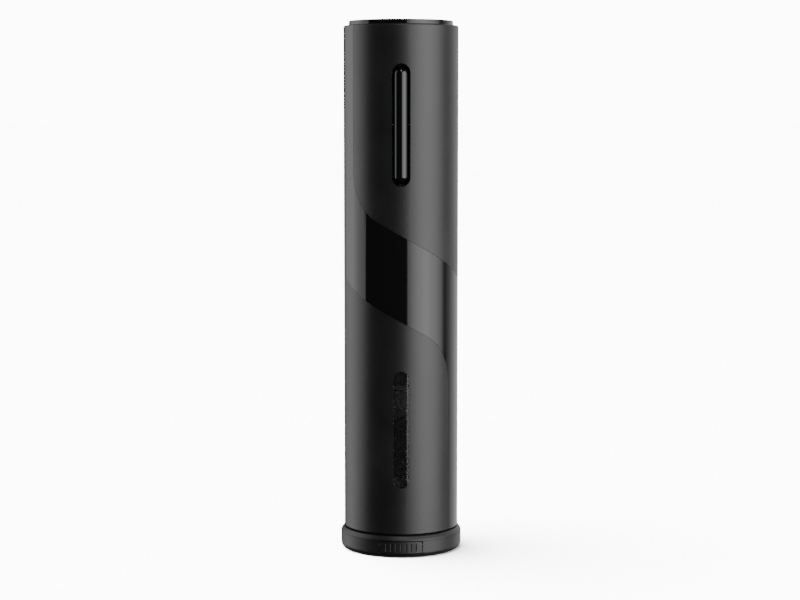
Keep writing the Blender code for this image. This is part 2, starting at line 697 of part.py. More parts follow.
def build_gearbox(colours, output, carrier_axis, rotor):
    """Ring gear, floor, cover, bearing, screws, planets and the two carriers."""
    black, steel = colours["inner_black"], colours["steel"]
    bearing_outer = OUTPUT_SHAFT_RADIUS + GAP / 3 + BEARING_WALL
    floor = add_piece("gearbox_floor",
                      turned(tube_profile(bearing_outer + GAP, FIT_RADIUS, FLOOR_Z,
                                          FLOOR_Z + GEAR_PLATE), INNER_STEPS), black)
    combine(floor, screw_holes(FLOOR_Z - GAP, FLOOR_Z + GEAR_PLATE + GAP), "DIFFERENCE", black)
    add_piece("output_bearing",
              turned(tube_profile(OUTPUT_SHAFT_RADIUS + GAP / 3, bearing_outer, FLOOR_Z,
                                  FLOOR_Z + GEAR_PLATE), SMALL_STEPS), colours["brass"])
    teeth = gear_outline(RING_TEETH, True, math.pi / RING_TEETH)
    holes = [circle(SCREW_RADIUS + GAP, PIN_STEPS, centre) for centre in screw_places()]
    add_piece("ring_gear",
              extruded(circle(FIT_RADIUS, INNER_STEPS), CARRIER_2_Z, COVER_Z - GAP, [teeth] + holes),
              colours["white_plastic"])
    cover_top = COVER_Z + GEAR_PLATE
    collar_inner = MOTOR_RADIUS + GAP
    collar_outer = collar_inner + SLEEVE_WALL
    collar_top = MOTOR_Z + MOTOR_COLLAR
    profile = [(FIT_RADIUS, cover_top), (FIT_RADIUS, COVER_Z), (MOTOR_SHAFT_RADIUS * 3, COVER_Z),
               (MOTOR_SHAFT_RADIUS * 3, cover_top), (collar_inner, cover_top),
               (collar_inner, collar_top), (collar_outer, collar_top), (collar_outer, cover_top)]
    cover = add_piece("gearbox_cover", turned(profile, INNER_STEPS), black)
    combine(cover, screw_holes(COVER_Z - GAP, COVER_Z + SCREW_BITE + GAP), "DIFFERENCE", black)
    head_top = CHAMBER_TOP - FLANGE_THICKNESS - GAP
    for index, centre in enumerate(screw_places()):
        profile = [(0.0, COVER_Z + SCREW_BITE), (SCREW_RADIUS, COVER_Z + SCREW_BITE),
                   (SCREW_RADIUS, head_top), (SCREW_HEAD_RADIUS, head_top),
                   (SCREW_HEAD_RADIUS, head_top - SCREW_HEAD), (0.0, head_top - SCREW_HEAD)]
        add_piece(f"gearbox_screw_{index + 1}", turned(profile, PIN_STEPS, centre), steel)

    build_stage(2, PLANET_2_Z, output, colours)
    build_stage(1, PLANET_1_Z, carrier_axis, colours)

    rim = RING_TIP - CARRIER_MARGIN
    profile = rod_profile(rim, CARRIER_2_Z, CARRIER_2_Z + GEAR_PLATE)
    carrier = add_piece("output_carrier", turned(profile, SMALL_STEPS), steel, parent=output)
    shaft = rod_profile(OUTPUT_SHAFT_RADIUS, SHAFT_END + GAP, CARRIER_2_Z + GEAR_PLATE / 2)
    combine(carrier, turned(shaft, PIN_STEPS), "UNION", steel)
    planet_pins(carrier, PLANET_2_Z, CARRIER_2_Z + GEAR_PLATE / 2, steel)

    profile = rod_profile(rim, CARRIER_1_Z, CARRIER_1_Z + GEAR_PLATE)
    middle = add_piece("middle_carrier", turned(profile, SMALL_STEPS), steel, parent=carrier_axis)
    combine(middle, extruded(gear_outline(SUN_TEETH, False), PLANET_2_Z, CARRIER_1_Z + GEAR_PLATE / 2),
            "UNION", steel)
    planet_pins(middle, PLANET_1_Z, CARRIER_1_Z + GEAR_PLATE / 2, steel)

    bore = circle(MOTOR_SHAFT_RADIUS + GAP, PIN_STEPS)
    add_piece("motor_pinion", extruded(gear_outline(SUN_TEETH, False), PLANET_1_Z,
                                       PLANET_1_Z + GEAR_FACE, [bore]),
              colours["brass"], parent=rotor)


def build_worm(colours, output):
    """The chuck on the output shaft and the coiled worm that hangs from it."""
    chuck = [(CHUCK_RADIUS, CHAMBER_TOP - GAP), (CHUCK_RADIUS, WORM_TOP + CHUCK_RADIUS / 3),
             (CHUCK_RADIUS * 2 / 3, WORM_TOP), (WORM_WIRE / 2 + GAP, WORM_TOP),
             (WORM_WIRE / 2 + GAP, SHAFT_END), (OUTPUT_SHAFT_RADIUS + GAP, SHAFT_END),
             (OUTPUT_SHAFT_RADIUS + GAP, CHAMBER_TOP - GAP)]
    add_piece("worm_chuck", turned(chuck, SMALL_STEPS), colours["steel"], parent=output)

    coil_radius = (WORM_OUTER - WORM_WIRE) / 2
    tip_z = BODY_FOOT + WORM_TIP_ABOVE_FOOT
    coil_top = WORM_TOP - WORM_SHANK
    turns = (coil_top - tip_z) / WORM_PITCH
    steps = round(turns * WORM_STEPS)
    path = []
    for index in range(steps + 1):
        angle = 2 * math.pi * turns * index / steps
        path.append((coil_radius * math.cos(angle), coil_radius * math.sin(angle),
                     tip_z + (coil_top - tip_z) * index / steps))
    bend = WORM_STEPS // 2
    for index in range(1, bend + 1):
        share = index / bend
        angle = 2 * math.pi * turns + math.pi * 0.5 * share
        reach = coil_radius * (1 + math.cos(math.pi * share)) / 2
        path.append((reach * math.cos(angle), reach * math.sin(angle),
                     coil_top + WORM_SHANK * 0.8 * share))
    path.append((0.0, 0.0, WORM_TOP))
    path.append((0.0, 0.0, SHAFT_END - GAP))
    ground = WORM_STEPS * 0.8 / len(path)

    def point_shape(share):
        return max(0.12, min(1.0, share / ground))

    add_wire("worm", path, WORM_WIRE / 2, colours["worm_steel"], (0.0, 0.0, tip_z), output, point_shape)


# ---------------------------------------------------------------- motor
def build_motor(colours, rotor):
    """Motor can, magnets, end cap, armature and shaft, and the sleeve round the motor."""
    steel = colours["zinc"]
    exit_radius = MOTOR_SHAFT_RADIUS * 2
    inner = MOTOR_RADIUS - MOTOR_WALL
    can = [(MOTOR_RADIUS, MOTOR_TOP), (MOTOR_RADIUS, MOTOR_Z), (exit_radius, MOTOR_Z),
           (exit_radius, MOTOR_Z + MOTOR_WALL), (inner, MOTOR_Z + MOTOR_WALL), (inner, MOTOR_TOP)]
    add_piece("motor_can", turned(can, INNER_STEPS), steel)

    plug = inner - GAP
    cap_foot = MOTOR_TOP + GAP
    cap = [(MOTOR_RADIUS, END_CAP_TOP), (MOTOR_RADIUS, cap_foot), (plug, cap_foot),
           (plug, cap_foot - END_CAP_THICKNESS), (exit_radius, cap_foot - END_CAP_THICKNESS),
           (exit_radius, END_CAP_TOP)]
    end_cap = add_piece("motor_end_cap", turned(cap, INNER_STEPS), colours["white_plastic"])
    for side in (-1, 1):
        x = side * MOTOR_RADIUS * 0.6
        tab = box((x - TERMINAL_WIDTH / 2, -TERMINAL_THICKNESS / 2, END_CAP_TOP - TERMINAL_ROOT),
                  (x + TERMINAL_WIDTH / 2, TERMINAL_THICKNESS / 2, END_CAP_TOP + TERMINAL_HEIGHT))
        combine(end_cap, tab, "UNION", colours["white_plastic"])

    magnet_low = MOTOR_Z + MOTOR_WALL + MAGNET_FROM_END
    armature_low = magnet_low + MAGNET_OVERLAP
    magnet_high = armature_low + ARMATURE_LENGTH + MAGNET_OVERLAP
    magnet_outer = inner - GAP
    for name, start in (("motor_magnet_left", 120.0), ("motor_magnet_right", -60.0)):
        steps = INNER_STEPS // 3
        outline = arc(magnet_outer, start, start + 120.0, steps)
        outline += arc(magnet_outer - MAGNET_WALL, start + 120.0, start, steps)
        add_piece(name, extruded(outline, magnet_low, magnet_high), colours["magnet"])

    pole_outer = magnet_outer - MAGNET_WALL - GAP
    outline = []
    for index in range(3):
        middle = index * 120.0
        outline += arc(pole_outer, middle - 48.0, middle + 48.0, 6)
        outline += arc(pole_outer * 0.55, middle + 54.0, middle + 66.0, 1)
    bore = circle(MOTOR_SHAFT_RADIUS + GAP, PIN_STEPS)
    add_piece("motor_armature",
              extruded(outline, armature_low, armature_low + ARMATURE_LENGTH, [bore]),
              colours["brass"], parent=rotor)
    add_piece("motor_shaft",
              turned(rod_profile(MOTOR_SHAFT_RADIUS, PLANET_1_Z, END_CAP_TOP), PIN_STEPS),
              colours["steel"], parent=rotor)

    sleeve = add_piece("motor_sleeve",
                       turned(tube_profile(FIT_RADIUS - SLEEVE_WALL, FIT_RADIUS, MOTOR_Z,
                                           BASE_PLATE_Z - GAP), INNER_STEPS), colours["inner_black"])
    notch = BOARD_WIDTH / 2 + SLEEVE_NOTCH_SIDE
    foot = BUTTON_Z - BUTTON_LENGTH / 2 - SLEEVE_NOTCH_END
    combine(sleeve, box((-notch, -BODY_RADIUS, foot), (notch, 0.0, BASE_PLATE_Z)), "DIFFERENCE",
            colours["inner_black"])


# ---------------------------------------------------------------- cells and cap
def holder_outline():
    """Round outline with a flat front for the switch board."""
    half = math.degrees(math.acos(-HOLDER_FRONT_Y / FIT_RADIUS))
    return arc(FIT_RADIUS, -90.0 + half, 270.0 - half, INNER_STEPS - 4)


def cell_places():
    """Axes of the four cells, going round."""
    return [(sx * CELL_OFFSET, sy * CELL_OFFSET) for sx, sy in ((-1, -1), (1, -1), (1, 1), (-1, 1))]


def contact_outline(places):
    """A strip over one cell, or over two cells side by side."""
    if len(places) == 1:
        return circle(CONTACT_RADIUS, PIN_STEPS, places[0])
    middle = ((places[0][0] + places[1][0]) / 2, (places[0][1] + places[1][1]) / 2)
    length = 2 * (CELL_OFFSET + CONTACT_RADIUS)
    strip = pill(2 * CONTACT_RADIUS, length, (0.0, 0.0), PIN_STEPS // 2)
    if places[0][0] == places[1][0]:
        return [(middle[0] + x, middle[1] + y) for x, y in strip]
    return [(middle[0] - y, middle[1] + x) for x, y in strip]


def build_cells(colours, cap_axis):
    """Battery base with its contacts, the holder, four cells and the pull-off cap."""
    black, plate = colours["inner_black"], colours["zinc"]
    places = cell_places()
    add_piece("battery_base", extruded(holder_outline(), BASE_PLATE_Z, BASE_PLATE_Z + BASE_PLATE),
              black)
    bores = [circle(CELL_BORE, SMALL_STEPS, centre) for centre in places]
    add_piece("battery_holder", extruded(holder_outline(), CELL_Z, HOLDER_TOP, bores), black)
    for name, cells in (("contact_plus", places[:1]), ("contact_minus", places[1:2]),
                        ("contact_link", places[2:])):
        add_piece(name, extruded(contact_outline(cells), CONTACT_Z, CONTACT_Z + CONTACT_THICKNESS),
                  plate)

    for index, centre in enumerate(places):
        body = CELL_LENGTH - CELL_NUB
        profile = [(0.0, CELL_LENGTH), (CELL_NUB_RADIUS, CELL_LENGTH), (CELL_NUB_RADIUS, body),
                   (CELL_RADIUS, body), (CELL_RADIUS, 0.0), (0.0, 0.0)]
        if index % 2 == 0:
            profile = [(radius, CELL_LENGTH - height) for radius, height in reversed(profile)]
        profile = [(radius, CELL_Z + height) for radius, height in profile]
        add_piece(f"cell_{index + 1}", turned(profile, SMALL_STEPS, centre), colours["cell_wrap"])

    under = CAP_TOP - CAP_PLATE
    skirt = FIT_RADIUS - CAP_SKIRT_WALL
    profile = [(0.0, CAP_TOP - CAP_DISH), (FIT_RADIUS * 0.82, CAP_TOP - CAP_DISH),
               (FIT_RADIUS * 0.84, CAP_TOP), (FIT_RADIUS - CAP_DISH, CAP_TOP),
               (FIT_RADIUS, CAP_TOP - CAP_DISH),
               (FIT_RADIUS, under - CAP_SKIRT), (skirt, under - CAP_SKIRT), (skirt, under), (0.0, under)]
    add_piece("top_cap", turned(profile, ROUND_STEPS), colours["gloss_black"], parent=cap_axis)
    for name, cells in (("cap_contact_left", [places[0], places[3]]),
                        ("cap_contact_right", [places[1], places[2]])):
        add_piece(name, extruded(contact_outline(cells), under - GAP - CONTACT_THICKNESS, under - GAP),
                  plate, parent=cap_axis)


# ---------------------------------------------------------------- button
def build_button(colours, rocker):
    """Switch board with its two switches, the bracket, the pivot pin and the rocker."""
    half = BOARD_WIDTH / 2
    board_top = BUTTON_Z + BOARD_LENGTH / 2
    add_piece("switch_board",
              box((-half, BOARD_Y, board_top - BOARD_LENGTH),
                  (half, BOARD_Y + BOARD_THICKNESS, board_top)), colours["board_green"])
    for name, side in (("up_switch", 1), ("down_switch", -1)):
        z = BUTTON_Z + side * SWITCH_SPACING / 2
        size = SWITCH_SIZE / 2
        front = BOARD_Y - GAP - SWITCH_HEIGHT
        switch = add_piece(name, box((-size, front, z - size), (size, BOARD_Y - GAP, z + size)),
                           colours["inner_black"])
        plunger = circle(SWITCH_PLUNGER, PIN_STEPS, (0.0, z))
        combine(switch, lying(plunger, PLUNGER_TIP_Y, front + SWITCH_HEIGHT / 2), "UNION",
                colours["inner_black"])

    web_half = BUTTON_RADIUS * 0.7
    lug_inner = half + GAP
    lug_outer = lug_inner + BRACKET_LUG
    web_back = PIVOT_Y + PIVOT_RADIUS + GAP / 3 + WEB_WALL
    strip_front = web_back + GAP
    strip_back = strip_front + BRACKET_STRIP
    lug_front = -math.sqrt(FIT_RADIUS ** 2 - lug_outer ** 2)
    low, high = BUTTON_Z - BRACKET_HEIGHT / 2, BUTTON_Z + BRACKET_HEIGHT / 2
    outline = [(-lug_outer, HOLDER_FRONT_Y - GAP), (-lug_outer, lug_front), (-lug_inner, lug_front),
               (-lug_inner, strip_front), (lug_inner, strip_front), (lug_inner, lug_front),
               (lug_outer, lug_front), (lug_outer, HOLDER_FRONT_Y - GAP),
               (lug_inner, HOLDER_FRONT_Y - GAP), (lug_inner, strip_back), (-lug_inner, strip_back),
               (-lug_inner, HOLDER_FRONT_Y - GAP)]
    bracket = add_piece("button_bracket", extruded(outline, low, high), colours["inner_black"])
    hole = turned(rod_profile(PIVOT_RADIUS + GAP / 3, -lug_outer * 1.2, lug_outer * 1.2), PIN_STEPS)
    pin = turned(rod_profile(PIVOT_RADIUS, -lug_outer, lug_outer), PIN_STEPS)
    web_hole = turned(rod_profile(PIVOT_RADIUS + GAP / 3, -half, half), PIN_STEPS)
    for bm in (hole, pin, web_hole):
        bmesh.ops.rotate(bm, cent=CENTRE, matrix=Matrix.Rotation(math.radians(90.0), 3, "Y"),
                         verts=bm.verts)
        bmesh.ops.translate(bm, vec=(0.0, PIVOT_Y, BUTTON_Z), verts=bm.verts)
    combine(bracket, hole, "DIFFERENCE", colours["inner_black"])
    add_piece("button_pin", pin, colours["gloss_black"])

    reach = BUTTON_LENGTH / 2 - BUTTON_RADIUS
    profile = [(radius, height + reach) for radius, height in arc(BUTTON_RADIUS, 0.0, 90.0, 4)]
    profile = [(0.0, profile[-1][1])] + profile[-2::-1]
    profile += [(radius, -height) for radius, height in reversed(profile)]
    bar = turned(profile, SMALL_STEPS)
    bmesh.ops.bisect_plane(bar, geom=bar.verts[:] + bar.edges[:] + bar.faces[:], dist=1e-7,
                           plane_co=CENTRE, plane_no=(0.0, 1.0, 0.0), clear_outer=True)
    rim = [edge for edge in bar.edges if edge.is_boundary]
    grown = bmesh.ops.extrude_edge_only(bar, edges=rim)
    moved = [item for item in grown["geom"] if isinstance(item, bmesh.types.BMVert)]
    bmesh.ops.translate(bar, vec=(0.0, BUTTON_BACK, 0.0), verts=moved)
    bmesh.ops.holes_fill(bar, edges=[edge for edge in bar.edges if edge.is_boundary])
    bmesh.ops.translate(bar, vec=(0.0, BUTTON_AXIS_Y, BUTTON_Z), verts=bar.verts)
    pivot = (0.0, PIVOT_Y, BUTTON_Z)
    button = add_piece("rocker_button", bar, colours["gloss_black"], pivot, rocker)
    web = box((-web_half, BUTTON_AXIS_Y, BUTTON_Z - BRACKET_HEIGHT / 2),
              (web_half, web_back, BUTTON_Z + BRACKET_HEIGHT / 2))
    combine(button, web, "UNION", colours["gloss_black"])
    combine(button, web_hole, "DIFFERENCE", colours["gloss_black"])


# ---------------------------------------------------------------- foil cutter
def jaw_ring(inner, outer):
    """Outline of a jaw's curved plate at the front."""
    steps = SMALL_STEPS // 2
    first, last = -90.0 - JAW_HALF_ANGLE, -90.0 + JAW_HALF_ANGLE
    return arc(outer, first, last, steps) + arc(inner, last, first, steps)


def pad_outline():
    """Outline of the finger pad that comes through the base's wall."""
    half = math.degrees(math.asin(PAD_WIDTH / 2 / CUTTER_RADIUS))
    rim = arc(CUTTER_RADIUS, -90.0 - half, -90.0 + half, 6)
    inner_y = -(JAW_OUTER + JAW_INNER) / 2
    return rim + [(PAD_WIDTH / 2, inner_y), (-PAD_WIDTH / 2, inner_y)]


def build_jaw(side, name, colours, cutter):
    """A jaw with its finger pad, its two wheel posts and the wheels on them."""
    black, steel = colours["satin_black"], colours["steel"]
    turn = Matrix.Rotation(0.0 if side == "front" else math.pi, 3, "Z")
    slide = add_axis(f"{name}_slide", CENTRE, cutter)

    def turn_in(bm):
        bmesh.ops.rotate(bm, cent=CENTRE, matrix=turn, verts=bm.verts)
        return bm

    jaw = add_piece(name, turn_in(extruded(jaw_ring(JAW_INNER, JAW_OUTER), JAW_Z, JAW_Z + JAW_PLATE)),
                    black, parent=slide)
    combine(jaw, turn_in(extruded(pad_outline(), JAW_Z, JAW_TOP)), "UNION", black)
    posts = [(sign * WHEEL_ORBIT * math.sin(math.radians(WHEEL_ANGLE)),
              -WHEEL_ORBIT * math.cos(math.radians(WHEEL_ANGLE))) for sign in (-1, 1)]
    for index, post in enumerate(posts):
        combine(jaw, turn_in(extruded(circle(WHEEL_POST, PIN_STEPS, post), JAW_Z + JAW_PLATE / 2,
                                      JAW_TOP)), "UNION", black)
        centre = turn @ Vector((*post, WHEEL_Z))
        axis = add_axis(f"cutter_wheel_{side}_{index + 1}_axis", centre, slide)
        thick = WHEEL_THICKNESS
        hole = WHEEL_POST + GAP / 2
        profile = [(WHEEL_RADIUS - thick, WHEEL_Z + thick), (WHEEL_RADIUS, WHEEL_Z + thick * 0.55),
                   (WHEEL_RADIUS, WHEEL_Z + thick * 0.45), (WHEEL_RADIUS - thick, WHEEL_Z),
                   (hole, WHEEL_Z), (hole, WHEEL_Z + thick)]
        add_piece(f"cutter_wheel_{side}_{index + 1}",
                  turned(profile, SMALL_STEPS, (centre.x, centre.y)), steel, centre, axis)


def build_cutter(colours, cutter):
    """Foil cutter: base, cover, two jaws with wheels, and the springs between the jaws."""
    black = colours["satin_black"]
    fillet = [(radius, height + CUTTER_FOOT_FILLET) for radius, height in
              arc(CUTTER_FOOT_FILLET, 0.0, -90.0, 3, (CUTTER_RADIUS - CUTTER_FOOT_FILLET, 0.0))]
    inner_wall = CUTTER_RADIUS - CUTTER_WALL
    profile = [(CUTTER_RADIUS, CUTTER_SEAM)] + fillet
    profile += [(HOLE_RADIUS, 0.0), (HOLE_RADIUS, CUTTER_FLOOR), (inner_wall, CUTTER_FLOOR),
                (inner_wall, CUTTER_SEAM)]
    base = add_piece("cutter_base", turned(profile, ROUND_STEPS), black, parent=cutter)
    window = PAD_WIDTH / 2 + GAP
    for low_y, high_y in ((-CUTTER_RADIUS * 1.1, -JAW_INNER), (JAW_INNER, CUTTER_RADIUS * 1.1)):
        combine(base, box((-window, low_y, CUTTER_FLOOR), (window, high_y, CUTTER_HEIGHT)),
                "DIFFERENCE", black)

    seam = CUTTER_SEAM + GAP
    profile = [(HOLE_RADIUS, seam), (HOLE_RADIUS, CUTTER_HEIGHT),
               (FIT_RADIUS - TONGUE_WALL, CUTTER_HEIGHT),
               (FIT_RADIUS - TONGUE_WALL, NECK_FLANGE_Z - GAP), (FIT_RADIUS, NECK_FLANGE_Z - GAP),
               (FIT_RADIUS, CUTTER_HEIGHT), (CUTTER_RADIUS - SHOULDER_INSET, CUTTER_HEIGHT),
               (CUTTER_RADIUS, CUTTER_SIDE_TOP), (CUTTER_RADIUS, seam)]
    add_piece("cutter_cover", turned(list(reversed(profile)), ROUND_STEPS), black, parent=cutter)

    build_jaw("front", "cutter_jaw_front", colours, cutter)
    build_jaw("rear", "cutter_jaw_rear", colours, cutter)

    middle = (JAW_INNER + JAW_OUTER) / 2
    reach = middle * math.cos(math.radians(JAW_HALF_ANGLE)) - JAW_SPRING_WIRE
    steps = JAW_SPRING_TURNS * 6
    for name, side in (("jaw_spring_left", -1), ("jaw_spring_right", 1)):
        centre = (side * middle, 0.0, (JAW_Z + JAW_TOP) / 2)
        path = []
        for index in range(steps + 1):
            angle = 2 * math.pi * JAW_SPRING_TURNS * index / steps
            path.append((centre[0] + JAW_SPRING_RADIUS * math.cos(angle),
                         reach * (2 * index / steps - 1),
                         centre[2] + JAW_SPRING_RADIUS * math.sin(angle)))
        add_wire(name, path, JAW_SPRING_WIRE / 2, colours["steel"], centre, cutter, sides=0)


def main():
    """Build the whole opener."""
    clear_scene()
    colours = palette()
    output = add_axis("worm_axis", (0.0, 0.0, CARRIER_2_Z))
    carrier_axis = add_axis("middle_carrier_axis", (0.0, 0.0, CARRIER_1_Z))
    rotor = add_axis("motor_axis", (0.0, 0.0, MOTOR_Z))
    rocker = add_axis("rocker_axis", (0.0, PIVOT_Y, BUTTON_Z))
    cap_axis = add_axis("cap_slide", (0.0, 0.0, CAP_TOP))
    cutter = add_axis("cutter_slide", CENTRE)
    build_skin(colours)
    build_lower_inside(colours)
    build_gearbox(colours, output, carrier_axis, rotor)
    build_worm(colours, output)
    build_motor(colours, rotor)
    build_cells(colours, cap_axis)
    build_button(colours, rocker)
    build_cutter(colours, cutter)


main()
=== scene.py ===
"""Looks of a battery electric wine opener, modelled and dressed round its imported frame.

Every piece below is shaped on the bench with Blender's own modelling operators, stands for one
node of the frame, rides on that node's body and carries a finish named for how it was made.
Lengths are metres, +Z is up and the front with the button and the window faces -Y.
"""

import json
import logging
import math
from collections.abc import Callable, Iterator, Sequence
from contextlib import contextmanager
from dataclasses import dataclass
from enum import Enum

import bmesh
import bpy
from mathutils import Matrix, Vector

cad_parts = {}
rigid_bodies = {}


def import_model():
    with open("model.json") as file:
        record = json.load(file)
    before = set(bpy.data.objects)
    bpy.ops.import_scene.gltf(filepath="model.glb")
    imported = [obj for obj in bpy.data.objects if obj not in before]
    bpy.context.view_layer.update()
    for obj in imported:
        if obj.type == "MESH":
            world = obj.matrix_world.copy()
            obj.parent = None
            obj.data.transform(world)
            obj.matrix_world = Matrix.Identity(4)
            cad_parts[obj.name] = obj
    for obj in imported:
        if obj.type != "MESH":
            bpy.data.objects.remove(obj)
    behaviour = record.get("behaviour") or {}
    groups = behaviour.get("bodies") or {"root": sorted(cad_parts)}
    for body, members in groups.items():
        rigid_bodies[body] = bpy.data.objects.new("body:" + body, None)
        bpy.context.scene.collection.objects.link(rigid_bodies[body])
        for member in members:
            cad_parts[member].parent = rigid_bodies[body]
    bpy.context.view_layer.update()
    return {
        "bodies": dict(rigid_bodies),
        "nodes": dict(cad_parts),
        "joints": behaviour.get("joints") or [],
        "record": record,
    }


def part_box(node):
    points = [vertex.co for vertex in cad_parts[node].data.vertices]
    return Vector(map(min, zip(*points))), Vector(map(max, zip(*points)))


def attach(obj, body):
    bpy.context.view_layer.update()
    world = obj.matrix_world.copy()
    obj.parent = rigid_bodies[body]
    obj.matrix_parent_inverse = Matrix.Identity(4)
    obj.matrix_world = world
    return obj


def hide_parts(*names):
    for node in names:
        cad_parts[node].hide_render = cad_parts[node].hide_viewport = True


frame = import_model()

MM = 0.001
MERGE = 0.002 * MM
WAVE_TURN = math.pi / 20        # a wave texture's scale for one band to each unit
GAP = 0.3 * MM        # between neighbours, as in the frame
EASE = 0.2 * MM       # radius of a plainly eased edge
LOG = logging.getLogger("wine_opener")


# ---------------------------------------------------------------- colours and nodes
def linear(code: str) -> tuple[float, float, float, float]:
    """Turn an sRGB hex colour into the linear colour that a shader works with.

    Args:
        code: six hex digits with a leading #.

    Returns:
        Red, green, blue and an alpha of one.
    """
    channels = []
    for start in (1, 3, 5):
        value = int(code[start:start + 2], 16) / 255.0
        channels.append(value / 12.92 if value <= 0.04045 else ((value + 0.055) / 1.055) ** 2.4)
    return (channels[0], channels[1], channels[2], 1.0)


def per(size: float) -> float:
    """Scale of a texture whose features are this many metres across."""
    return 1.0 / size


def add_node(tree: bpy.types.NodeTree, kind: str, settings: dict | None = None,
             links: dict | None = None) -> bpy.types.Node:
    """Add a node with its settings and links.

    Args:
        tree: the node tree that gets the node.
        kind: the node's type name.
        settings: property names, or input names and numbers, with their values.
        links: input names or numbers with the output sockets that feed them.

    Returns:
        The new node.
    """
    node = tree.nodes.new(kind)
    for key, value in (settings or {}).items():
        if isinstance(key, str) and hasattr(node, key):
            setattr(node, key, value)
        else:
            node.inputs[key].default_value = value
    for key, source in (links or {}).items():
        tree.links.new(source, node.inputs[key])
    return node


def place_of(tree: bpy.types.NodeTree, stretch: Sequence[float] = (1.0, 1.0, 1.0)) -> bpy.types.NodeSocket:
    """Position on the piece in metres, stretched along its axes.

    Args:
        tree: the material's node tree.
        stretch: how much faster than real the pattern runs along X, Y and Z.

    Returns:
        The vector output to feed a texture with.
    """
    where = add_node(tree, "ShaderNodeTexCoord")
    turned_to = add_node(tree, "ShaderNodeMapping", {"Scale": stretch}, {"Vector": where.outputs["Object"]})
    return turned_to.outputs["Vector"]


def spread(tree: bpy.types.NodeTree, source: bpy.types.NodeSocket, low: float,
           high: float, start: float = 0.3, end: float = 0.7) -> bpy.types.NodeSocket:
    """Stretch a texture's value over a range, clamped at both ends.

    Args:
        tree: the material's node tree.
        source: the value to stretch.
        low: the result where the source is start.
        high: the result where the source is end.
        start: the source's lower value.
        end: the source's higher value.

    Returns:
        The stretched value's socket.
    """
    ranged = add_node(tree, "ShaderNodeMapRange",
                      {"From Min": start, "From Max": end, "To Min": low, "To Max": high},
                      {"Value": source})
    return ranged.outputs["Result"]


def noise(tree: bpy.types.NodeTree, size: float, detail: float,
          stretch: Sequence[float] = (1.0, 1.0, 1.0), coarse: float = 0.5) -> bpy.types.NodeSocket:
    """Noise whose features have a real size.

    Args:
        tree: the material's node tree.
        size: how far across a feature is, in metres.
        detail: how many finer layers lie over it.
        stretch: how much faster than real it runs along X, Y and Z.
        coarse: how strong the finer layers are.

    Returns:
        The noise's socket, from 0 to 1.
    """
    texture = add_node(tree, "ShaderNodeTexNoise",
                       {"Scale": per(size), "Detail": detail, "Roughness": coarse},
                       {"Vector": place_of(tree, stretch)})
    return texture.outputs["Fac"]


def feed(tree: bpy.types.NodeTree, shader: bpy.types.Node, sockets: dict) -> None:
    """Link sockets to a shader's inputs, given by the inputs' names."""
    for name, socket in sockets.items():
        tree.links.new(socket, shader.inputs[name])


def blend_colours(tree: bpy.types.NodeTree, share: bpy.types.NodeSocket, first: object,
                  second: object) -> bpy.types.NodeSocket:
    """Mix two colours, each given as a hex code or as a socket, by a share from 0 to 1."""
    settings: dict = {"data_type": "RGBA"}
    links = {0: share}
    for index, colour in ((6, first), (7, second)):
        if isinstance(colour, str):
            settings[index] = linear(colour)
        else:
            links[index] = colour
    return add_node(tree, "ShaderNodeMix", settings, links).outputs[2]


def raise_surface(tree: bpy.types.NodeTree, shader: bpy.types.Node, height: bpy.types.NodeSocket,
                  depth: float, strength: float = 1.0) -> None:
    """Give a shader a relief.

    Args:
        tree: the material's node tree.
        shader: the shader whose normal is bent.
        height: the relief, from 0 to 1.
        depth: how deep the relief is, in metres.
        strength: how much of it is used.
    """
    bump = add_node(tree, "ShaderNodeBump", {"Strength": strength, "Distance": depth},
                    {"Height": height})
    tree.links.new(bump.outputs["Normal"], shader.inputs["Normal"])


# ---------------------------------------------------------------- finishes
@dataclass(frozen=True)
class Finish:
    """A surface as its maker would name it, with the values that its shader starts from."""

    name: str
    colour: str
    roughness: float
    metallic: float = 0.0
    ior: float = 1.5

    def material(self) -> bpy.types.Material:
        """The finish as a material, made once and then shared."""
        known = bpy.data.materials.get(self.name)
        if known:
            return known
        made = bpy.data.materials.new(self.name)
        made.use_nodes = True
        tree = made.node_tree
        shader = tree.nodes["Principled BSDF"]
        shader.inputs["Base Color"].default_value = linear(self.colour)
        shader.inputs["Roughness"].default_value = self.roughness
        shader.inputs["Metallic"].default_value = self.metallic
        if not self.metallic:
            shader.inputs["IOR"].default_value = self.ior
        self.detail(tree, shader)
        return made

    def detail(self, tree: bpy.types.NodeTree, shader: bpy.types.Node) -> None:
        """Add the pattern that makes the finish; each kind of finish has its own."""
        raise NotImplementedError


@dataclass(frozen=True)
class SatinMoulding(Finish):
    """ABS moulded in a spark-eroded tool.

    The eroded skin scatters light, so softboxes turn into soft-edged bands, and a close look
    shows a fine even grain.  The real grain is about 0.1 mm; it is drawn at grain so that it shows.
    """

    grain: float = 0.35 * MM
    depth: float = 0.012 * MM
    cloud: float = 22 * MM
    worn: str = "#161617"

    def detail(self, tree: bpy.types.NodeTree, shader: bpy.types.Node) -> None:
        """Grain in the relief, and slow clouds in colour and gloss from handling."""
        grain = noise(tree, self.grain, 3.0, coarse=0.6)
        clouds = noise(tree, self.cloud, 2.0)
        mixed = add_node(tree, "ShaderNodeMath", {"operation": "MULTIPLY_ADD", 1: 0.25},
                         {0: grain, 2: clouds})
        feed(tree, shader, {
            "Base Color": blend_colours(tree, spread(tree, clouds, 0.0, 1.0), self.colour, self.worn),
            "Roughness": spread(tree, mixed.outputs["Value"], self.roughness - 0.025,
                                self.roughness + 0.025, 0.4, 0.85)})
        raise_surface(tree, shader, grain, self.depth)


